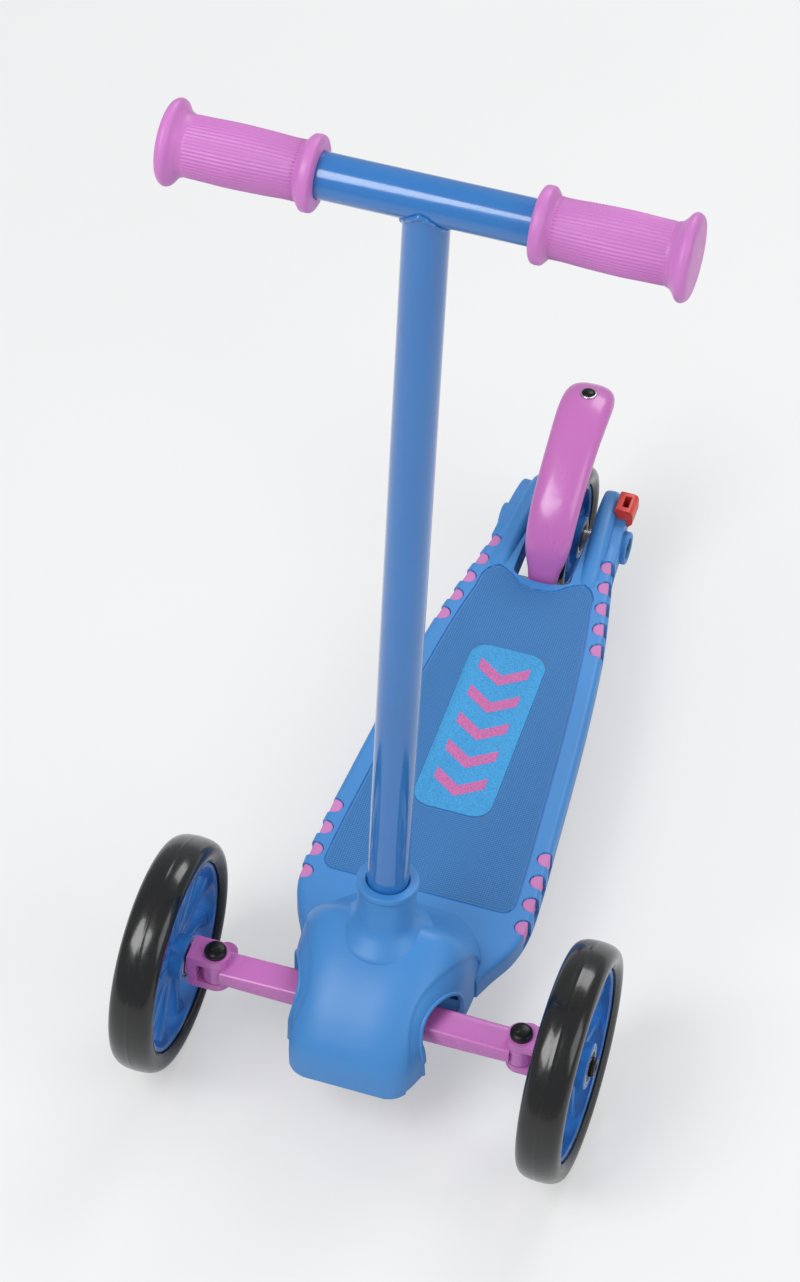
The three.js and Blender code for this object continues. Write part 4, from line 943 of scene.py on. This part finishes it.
def chevron_form(centre, low, high):
    """A flat arrowhead that points ahead."""
    reach, half, edge = CHEVRON_REACH, CHEVRON_HALF_DEPTH, CHEVRON_HALF_STROKE
    outline = [(0, half + edge), (reach, edge - half), (reach, -edge - half), (0, half - edge),
               (-reach, -edge - half), (-reach, edge - half)]
    return skin([[at(across, centre + ahead, up) for across, ahead in outline] for up in (low, high)])


def add_patch():
    """The grit film with its five printed arrowheads."""
    finish_piece(plain_copy("grit_patch"), "grit_patch", edges=(0.15, 2, 30))
    top, centre = corners("grit_patch")[1].z, (REAR_AXLE.y - middle("grit_patch").y) / MM
    marks = [chevron_form(centre + CHEVRON_PITCH * i, top - 0.2, top + 0.12) for i in range(-2, 3)]
    dress("grit_patch", "marks", *marks, slot="grit", material="grit_pink")


add_deck()
add_panel()
add_pads()
add_patch()


# Hood and collar

NOSE_REAR = 343
NOSE_FRONT = 477
NOSE_HALF_WIDTH = 57
NOSE_TOP = 118
NOSE_BOTTOM = 53
NOSE_WALL = 4
NOSE_POWER = 0.6
NOSE_SHARES = [(0, 0.7, 0.27), (0.1, 0.86, 0.4), (0.2, 0.96, 0.62), (0.3, 1, 0.88), (0.38, 1, 1),
               (0.48, 0.98, 0.99), (0.6, 0.93, 0.93), (0.72, 0.86, 0.83), (0.84, 0.77, 0.69),
               (0.93, 0.68, 0.55), (0.98, 0.58, 0.44), (1, 0.46, 0.34)]
SHOULDER_MIDDLE = WHEELBASE - 10
SHOULDER_HALF_LENGTH = 50
SHOULDER_TOP = 107
SHOULDER_DEPTH = 1.5
ARCH_HALF_WIDTH = 22.5
ARCH_TOP = 96
BLOCK_ACROSS = 28
BLOCK_SEAT = 7.5
BULKHEAD_STATIONS = (WHEELBASE + 19, WHEELBASE + 25)
BULKHEAD_BOTTOM = AXLE.z / MM - 13
STEM_WELL = 16
COLLAR_RADIUS = 18
COLLAR_TOP = 66
PIN_BORE = 3.9
TUBE_BORE = TUBE_RADIUS + SEAT_GAP  # of what takes the handle's tube

nose_line = through(NOSE_SHARES, 12)


def nose_size(ahead):
    """Half-width and height of the hood at a distance ahead of the rear axle."""
    share = (ahead - NOSE_REAR) / (NOSE_FRONT - NOSE_REAR)
    along, wide, high = zip(*nose_line)
    return (np.interp(share, along, wide) * NOSE_HALF_WIDTH,
            np.interp(share, along, high) * (NOSE_TOP - NOSE_BOTTOM))


def shoulder_dip(ahead, up):
    """How deep a place on the hood's side lies under the arched shoulder line."""
    reach = math.hypot((ahead - SHOULDER_MIDDLE) / SHOULDER_HALF_LENGTH,
                       (up - NOSE_BOTTOM) / (SHOULDER_TOP - NOSE_BOTTOM))
    share = min(max((1 - reach) / 0.05, 0), 1)
    return SHOULDER_DEPTH * share * share * (3 - 2 * share)


def nose_form(inset):
    """The hood's closed form; inset, it is the room inside it."""
    bottom = NOSE_BOTTOM - (2 if inset else 0)
    rings = []
    for along, wide, high in nose_line:
        half = wide * NOSE_HALF_WIDTH - inset
        rise = NOSE_BOTTOM + high * (NOSE_TOP - NOSE_BOTTOM) - inset - bottom
        ahead = NOSE_REAR + inset + along * (NOSE_FRONT - NOSE_REAR - 2 * inset)
        ring = []
        for x, y in arc(96, power=NOSE_POWER):
            up = bottom + rise * max(y, 0)
            dip = 0 if inset else shoulder_dip(ahead, up)
            ring.append(at(math.copysign(max(half * abs(x) - dip, 0), x), ahead, up))
        rings.append(ring)
    return skin(rings)


def arch_outline(foot):
    """The arch over the axle beam, from its rear foot over the top to its front foot."""
    half, spring = ARCH_HALF_WIDTH, ARCH_TOP - ARCH_HALF_WIDTH
    over = [(WHEELBASE - half * x, spring + half * y) for x, y in arc(24)]
    return [(WHEELBASE - half, foot), *over, (WHEELBASE + half, foot)]


def nose_surface(side, ahead, up):
    """A place on the hood's side."""
    half, rise = nose_size(ahead)
    share = min((up - NOSE_BOTTOM) / rise, 1)
    reach = half * (1 - share ** (2 / NOSE_POWER)) ** (NOSE_POWER / 2)
    return at(side * (reach - shoulder_dip(ahead, up)), ahead, up)


def arch_lip(side):
    """A rounded lip along the edge of the arch."""
    line = [nose_surface(side, ahead, up) for ahead, up in arch_outline(NOSE_BOTTOM)]
    return tube([point - Vector((side * 0.5 * MM, 0, 0)) for point in line], lambda i: 1.5, 10)


def add_hood():
    """The hood's shell, open to the arches, the deck and the stem's collar."""
    reach = NOSE_HALF_WIDTH + 5
    arch = skin([[at(across, ahead, up) for ahead, up in arch_outline(NOSE_BOTTOM - 3)]
                 for across in (-reach, reach)])
    room = box_form(at(-reach, PLATFORM_FRONT + SEAT_GAP, NOSE_BOTTOM - 5),
                    at(reach, NOSE_REAR - 5, DECK_TOP + SEAT_GAP))
    shell = carve(build("nose_cover_finish", nose_form(0)), nose_form(NOSE_WALL), arch, room,
                  rod_form(ON_STEM, STEM_WELL, -10, 90))
    finish_piece(shell, "nose_cover", smooth=42)
    for side, name in SIDES:
        dress("nose_cover", f"lip_{name}", arch_lip(side))


def add_bulkhead():
    """The wall inside the hood that holds the front of the lean bolt, and the rubber blocks' seats."""
    rings = []
    for ahead in BULKHEAD_STATIONS:
        half, rise = (size - 2 for size in nose_size(ahead))
        rings.append([at(half * x, ahead, max(NOSE_BOTTOM + rise * y, BULKHEAD_BOTTOM))
                      for x, y in arc(40, power=NOSE_POWER)])
    wall = build("nose_cover_bulkhead", skin(rings))
    finish_piece(carve(wall, rod_form(ON_LEAN, BOLT_BORE, -60, 0, 32)), "nose_cover")
    for side, name in SIDES:
        place = Matrix.Translation(at(side * BLOCK_ACROSS, WHEELBASE, 0))
        dress("nose_cover", f"seat_{name}", rod_form(place, BLOCK_SEAT, 97, 103.5, 40))


def add_collar():
    """The collar that holds the stem: a flared skirt, a bead round the top and the button's boss."""
    skirt = [(COLLAR_RADIUS + 12 * out, 20 + 16 * up) for out, up in
             through([(1, 0), (0.94, 0.18), (0.55, 0.46), (0.18, 0.75), (0, 1)], 5)]
    bead = [(COLLAR_RADIUS + 1.3 * x, 63.5 + 2.5 * y) for x, y in arc(12, -QUARTER, QUARTER, 0.7)]
    profile = [(0.2, -3.3), (17, -3.3), (17, 20), *skirt, *bead, (TUBE_BORE + 0.8, COLLAR_TOP),
               (TUBE_BORE, COLLAR_TOP - 0.8), (TUBE_BORE, -0.3), (0.2, -0.3)]
    collar = build("nose_cover_collar", turned(ON_STEM, profile, 72, "cap"))
    boss = build("nose_cover_boss",
                 turned(ON_PIN, [(9.6, 13.5), (9.6, 23), (9.3, 23.7), (8.6, 24)], 48, "cap"))
    cuts = rod_form(ON_PIN, PIN_BORE, 0, 30, 32), rod_form(ON_PIN, 6.9, 19.5, 30, 40)
    finish_piece(carve(collar, *cuts), "nose_cover", smooth=42)
    finish_piece(carve(boss, rod_form(ON_STEM, TUBE_BORE, 0, COLLAR_TOP), *cuts), "nose_cover", smooth=42)


def add_button():
    """The finger button, with a shallow dish in its head."""
    profile = [(3.6, 15.9), (3.6, 23.1), (6.2, 22.9), (6.6, 23.3), (6.6, 25.4), (6.3, 26.1), (5.6, 26.5),
               (4.8, 26.4), (3, 26), (0.3, 25.8)]
    dress("release_button", "finish", turned(ON_PIN, profile, 48, "cap"), smooth=50)


add_hood()
add_bulkhead()
add_collar()
add_button()


# Handle

BAR_HALF = 138
GRIP_LENGTH = 85
GRIP_CAP = 5  # of the grip beyond the bar's end
GRIP_RIBS = 52
RIB_HEIGHT = 0.6
END_SHARES = [(0.55, 0), (0.82, 0.004), (0.94, 0.018), (1, 0.048), (0.965, 0.076), (0.85, 0.1),
              (0.755, 0.125)]
BARREL_SHARES = [(0.99, 0.16), (1, 0.28), (1.02, 0.45), (1, 0.66), (0.97, 0.8), (0.975, 0.885)]
FLANGE_SHARES = [(0.9, 0.905), (0.985, 0.925), (1, 0.945), (1, 0.965), (0.97, 0.985), (0.88, 0.998)]
GRIP_PARTS = ((23.5, END_SHARES, 4), (16.8, BARREL_SHARES, 18), (20.8, FLANGE_SHARES, 4))


def tube_form(place, start, end):
    """A length of the handle's tube, open through."""
    inner, outer, lip = TUBE_RADIUS - TUBE_WALL, TUBE_RADIUS, 0.3
    return turned(place, [(outer, start + lip), (outer, end - lip), (outer - lip, end), (inner, end),
                          (inner, start), (outer - lip, start)])


def weld_bead():
    """The bead where the stem meets the cross tube, a little uneven as a painted weld is."""
    line = []
    for i in range(120):
        angle = TAU * i / 120
        across, back = 13.1 * math.sin(angle), 13.1 * math.cos(angle)
        drop = math.sqrt(max(13.4 ** 2 - back ** 2, 0))
        line.append(ON_STEM @ (Vector((across, back, BAR_ALONG - drop)) * MM))
    return tube(line, lambda i: 1.5 + 0.16 * math.sin(TAU * i / 6), 12, closed=True)


def rib_ripple(number, last, inward):
    """The ribs of one ring of a grip's barrel, which turn into a hatch towards the inner end."""
    fade = min(number / 4, (last - number) / 4, 1)
    hatch = min(max(0, (inward - 0.42) / 0.4), 1) * (0.5 + 0.5 * math.cos(math.pi * number))

    def ripple(angle):
        rib = 0.5 + 0.5 * math.cos(GRIP_RIBS * angle)
        return RIB_HEIGHT * fade * rib * (1 - 0.9 * hatch) - 0.35 * fade
    return ripple


def grip_form(side):
    """A grip with a thick end disc, a crowned barrel with fine ribs, and an inner flange."""
    place, start = facing(ON_BAR, side), BAR_HALF + GRIP_CAP + SEAT_GAP
    rings = []
    for radius, shares, steps in GRIP_PARTS:
        line = through([(radius * out, GRIP_LENGTH * along) for out, along in shares], steps)
        for number, point in enumerate(line):
            ripple = (rib_ripple(number, len(line) - 1, point.y / GRIP_LENGTH)
                      if shares is BARREL_SHARES else None)
            rings.append(round_ring(place, point.x, start - point.y, 4 * GRIP_RIBS, ripple))
    rings += [round_ring(place, TUBE_BORE, start - along, 4 * GRIP_RIBS) for along in (GRIP_LENGTH, GRIP_CAP)]
    return skin(rings)


def add_handle():
    stem = build("handlebar_finish", tube_form(ON_STEM, 0, BAR_ALONG))
    finish_piece(carve(stem, rod_form(ON_PIN, 4.1, 0, 20, 32)), "handlebar")
    dress("handlebar", "cross", tube_form(ON_BAR, -BAR_HALF, BAR_HALF))
    dress("handlebar", "weld", weld_bead(), smooth=80)
    for side, name in SIDES:
        dress(f"grip_{name}", "finish", grip_form(side), smooth=60)


add_handle()


# Front axle

KING_PIN_X = 98
EYE_RADIUS = 9
EYE_HALF_HEIGHT = 8
EAR_IN = EYE_HALF_HEIGHT + SEAT_GAP
EAR_OUT = EAR_IN + 6
KING_BORE = 3.5
STEER_ARM = 18
STEER_EYE = 7
PEG_RADIUS = 2.5
KNUCKLE_NEAR = 108
KNUCKLE_FAR = 114
BEAM_SHARES = [(0, 1), (0.18, 1), (0.4, 0.98), (0.6, 0.94), (0.8, 0.87), (0.95, 0.8)]


def upright(across, back=0):
    """A frame on the front axle whose Z points up."""
    return Matrix.Translation(AXLE + Vector((across, back, 0)) * MM)


def axle_box(low, high):
    return box_form(AXLE + Vector(low) * MM, AXLE + Vector(high) * MM)


def add_beam():
    rings = []
    for across, up in [(-across, up) for across, up in BEAM_SHARES[:0:-1]] + BEAM_SHARES:
        rings.append([AXLE + Vector((across * KING_PIN_X, 10 * x, 7.5 * up * y)) * MM
                      for x, y in whole(48, 0.36)])
    piece = build("axle_beam_finish", skin(rings))
    pins = [upright(side * KING_PIN_X) for side, _ in SIDES]
    combine(piece, "UNION", rounded_rod(ON_LEAN, 10, -18.5, 25.5),
            *[rounded_rod(pin, EYE_RADIUS, -EYE_HALF_HEIGHT, EYE_HALF_HEIGHT) for pin in pins])
    carve(piece, rod_form(ON_LEAN, BOLT_BORE, -30, 30), *[rod_form(pin, 3.3, -20, 20) for pin in pins])
    finish_cast(piece, "axle_beam", 0.4)


def add_knuckle(side, name):
    """A knuckle: a plate, two ears round the king pin, a steering arm with its peg, and a boss."""
    pin = side * KING_PIN_X
    sides = sorted((side * KNUCKLE_NEAR, side * KNUCKLE_FAR))
    ends = sorted((pin, side * (KNUCKLE_FAR - 1)))
    piece = build(f"knuckle_{name}_finish",
                  axle_box((sides[0], -EYE_RADIUS, -EAR_OUT), (sides[1], EYE_RADIUS, EAR_OUT)))
    forms = []
    for low, high in ((EAR_IN, EAR_OUT), (-EAR_OUT, -EAR_IN)):
        forms += [axle_box((ends[0], -EYE_RADIUS, low), (ends[1], EYE_RADIUS, high)),
                  rod_form(upright(pin), EYE_RADIUS, low, high)]
    arm_end, outward = upright(pin, STEER_ARM), along_x(AXLE, side)
    combine(piece, "UNION", *forms,
            axle_box((pin - STEER_EYE, 0, -EAR_OUT), (pin + STEER_EYE, STEER_ARM, -EAR_IN)),
            rod_form(arm_end, STEER_EYE, -EAR_OUT, -EAR_IN), rod_form(arm_end, PEG_RADIUS, -27, -12, 32),
            rod_form(arm_end, 2 * PEG_RADIUS, -19.5, -12, 32),
            rod_form(outward, EYE_RADIUS, KNUCKLE_FAR - 2, 115.5))
    carve(piece, rod_form(upright(pin), KING_BORE, -20, 20, 32), rod_form(outward, BOLT_BORE, 100, 120, 32))
    finish_cast(piece, f"knuckle_{name}", 0.7)


def add_clip():
    """The red clip that wraps the left arm's outer side, with a slot through it."""
    low, high = corners("arm_clip")
    outline = [(low.x, high.z - 1), (low.x + 1, high.z), (41.2, high.z), (43.6, high.z - 1.2),
               (high.x, high.z - 4), (high.x, low.z + 3), (high.x - 2.4, low.z), (37, low.z), (low.x, 69)]
    piece = build("arm_clip_finish", skin([[Vector((x, y, z)) * MM for x, z in outline]
                                           for y in (low.y, high.y)]))
    window = box_form(Vector((36, low.y + 3.5, low.z - 5)) * MM,
                      Vector((40.6, high.y - 3.5, high.z + 5)) * MM)
    arm = arm_outline()
    carve(piece, arm_form(1, drawn_in(arm, -SEAT_GAP), -SEAT_GAP, ARM_RIDGE + SEAT_GAP, 4.5),
          arm_form(1, drawn_in(arm, WEB_INSET - SEAT_GAP), ARM_RIDGE / 2, ARM_WIDTH + SEAT_GAP, 1), window)
    finish_cast(piece, "arm_clip", 0.6)


add_beam()
for side, name in SIDES:
    add_knuckle(side, name)
add_clip()


# Fasteners

HEAD_RADIUS = 7
SHANK_RADIUS = 4
PIN_HEAD = 4.5


def add_bolt(node, place, far, face, depth, socket):
    """A bolt with a chamfered six-sided head and socket, its shank sunk a little into the head."""
    head = [(HEAD_RADIUS, face - depth), (HEAD_RADIUS, face - 0.7), (HEAD_RADIUS - 0.7, face),
            (socket, face), (socket, face - 2)]
    dress(node, "finish", turned(place, head, 6, "cap"),
          rod_form(place, SHANK_RADIUS, far, face - depth + 0.5, 32), edges=(0.25, 2, 30))


def add_wheel_bolt(name, side):
    node = f"wheel_bolt_{name}"
    far, face = sorted(side * corner.x for corner in corners(node))
    centre = middle(node)
    add_bolt(node, along_x((0, centre.y, centre.z), side), far, face, 3, 3)


def add_king_pin(name):
    """A pin with a domed head, and a collar at its foot."""
    node = f"king_pin_{name}"
    foot, top = (corner.z for corner in corners(node))
    centre = middle(node)
    place = Matrix.Translation((centre.x, centre.y, 0))
    neck = top - PIN_HEAD
    dome = [(HEAD_RADIUS * x, neck + PIN_HEAD * (0.35 + 0.65 * y)) for x, y in arc(9, 0, QUARTER, 0.8)[:-1]]
    dress(node, "finish", turned(place, [(HEAD_RADIUS, neck), *dome, (0.4, top)], 40, "cap"),
          rod_form(place, 3, foot + PIN_HEAD - 0.5, neck + 0.5, 32),
          turned(place, [(5.2, foot + PIN_HEAD), (5.2, foot + 0.5), (4.8, foot)], 32, "cap"))


def add_spacer(node):
    low, high = corners(node)
    half = (high.x - low.x) / 2
    profile = mirrored([(BOLT_BORE, half), (6.6, half), (7, half - 0.4)])
    dress(node, "finish", turned(along_x(middle(node)), profile, 48))


for side, name in SIDES:
    add_wheel_bolt(name, side)
    add_king_pin(name)
    add_spacer(f"rear_spacer_{name}")
add_bolt("rear_axle_bolt", along_x((0, REAR_AXLE.y, REAR_AXLE.z)),
         *(corner.x for corner in corners("rear_axle_bolt")), 4.5, 3.4)


# The other nodes are rounded copies

EDGE_WIDTHS = {"tie_rod": 0.7}

for node in sorted(frame["nodes"]):
    if not frame["nodes"][node].hide_render:
        copy = plain_copy(node)
        finish_piece(copy, node, smooth=42, edges=(EDGE_WIDTHS.get(node, 0.4), 2, 32), flats=True)
        if node.startswith("centring_block"):
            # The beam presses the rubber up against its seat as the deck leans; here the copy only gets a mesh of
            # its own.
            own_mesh(copy)
        if node == "snap_spring":
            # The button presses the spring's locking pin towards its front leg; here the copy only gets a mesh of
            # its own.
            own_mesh(copy)


# Stage, light and camera, in metres

FLOOR_RADIUS = 9.0
LAMP_TARGET = Vector((0, 0, 0.25))
# Name, azimuth, elevation, distance, size and power
LAMPS = (("key", -35, 52, 2.6, 1.3, 34), ("fill", 75, 35, 2.6, 1.6, 16), ("rim", 170, 40, 2.8, 1.2, 20))
CAMERA_TARGET = Vector((-0.038, -0.03, 0.203))


def add_stage():
    """A plain round pale floor, wide enough to fill the view."""
    shape = bmesh.new()
    bmesh.ops.create_circle(shape, cap_ends=True, segments=64, radius=FLOOR_RADIUS)
    floor = from_bmesh("floor", shape)
    nodes = Nodes(bpy.data.materials.new("floor"))
    seen, cloud = nodes.add(*CAMERA_RAY), nodes.spread(nodes.noise(3, 2), 0, 1)
    unseen, shown = (nodes.mix(cloud, grey(low), grey(high)) for low, high in ((0.8, 0.84), (0.47, 0.5)))
    floor.data.materials.append(nodes.shade({
        "Base Color": nodes.mix(seen, unseen, shown), "Roughness": 0.6, "Emission Color": grey(1),
        "Emission Strength": nodes.math("MULTIPLY", seen, 0.4)}))


def look_at(piece, target, azimuth, elevation, distance):
    """Puts a camera or lamp at a distance from its target, in a direction in degrees."""
    turn, rise = math.radians(azimuth), math.radians(elevation)
    towards = Vector((math.sin(turn) * math.cos(rise), -math.cos(turn) * math.cos(rise), math.sin(rise)))
    piece.location = target + towards * distance
    piece.rotation_euler = (-towards).to_track_quat("-Z", "Y").to_euler()


def add_camera():
    """Looks down on the deck from the front left, the rear wheel up in the frame."""
    camera = add_object("camera", bpy.data.cameras.new("camera"))
    look_at(camera, CAMERA_TARGET, azimuth=18, elevation=50, distance=2.35)
    camera.data.sensor_fit = "VERTICAL"
    camera.data.sensor_height = 36
    camera.data.lens = 107
    bpy.context.scene.camera = camera


def add_lamp(name, azimuth, elevation, distance, size, power):
    """A soft square lamp that looks at the middle of the scooter."""
    lamp = add_object(name, bpy.data.lights.new(name, "AREA"))
    look_at(lamp, LAMP_TARGET, azimuth, elevation, distance)
    lamp.data.size = size
    lamp.data.energy = power


def add_world():
    world = bpy.data.worlds.new("world")
    bpy.context.scene.world = world
    nodes = Nodes(world, "Background")
    nodes.shade({"Color": (0.95, 0.97, 1.0, 1), "Strength": nodes.spread(nodes.add(*CAMERA_RAY), 0.45, 0.85)})


add_camera()
add_stage()
add_world()
for lamp in LAMPS:
    add_lamp(*lamp)
bpy.context.scene.view_settings.view_transform = "Standard"
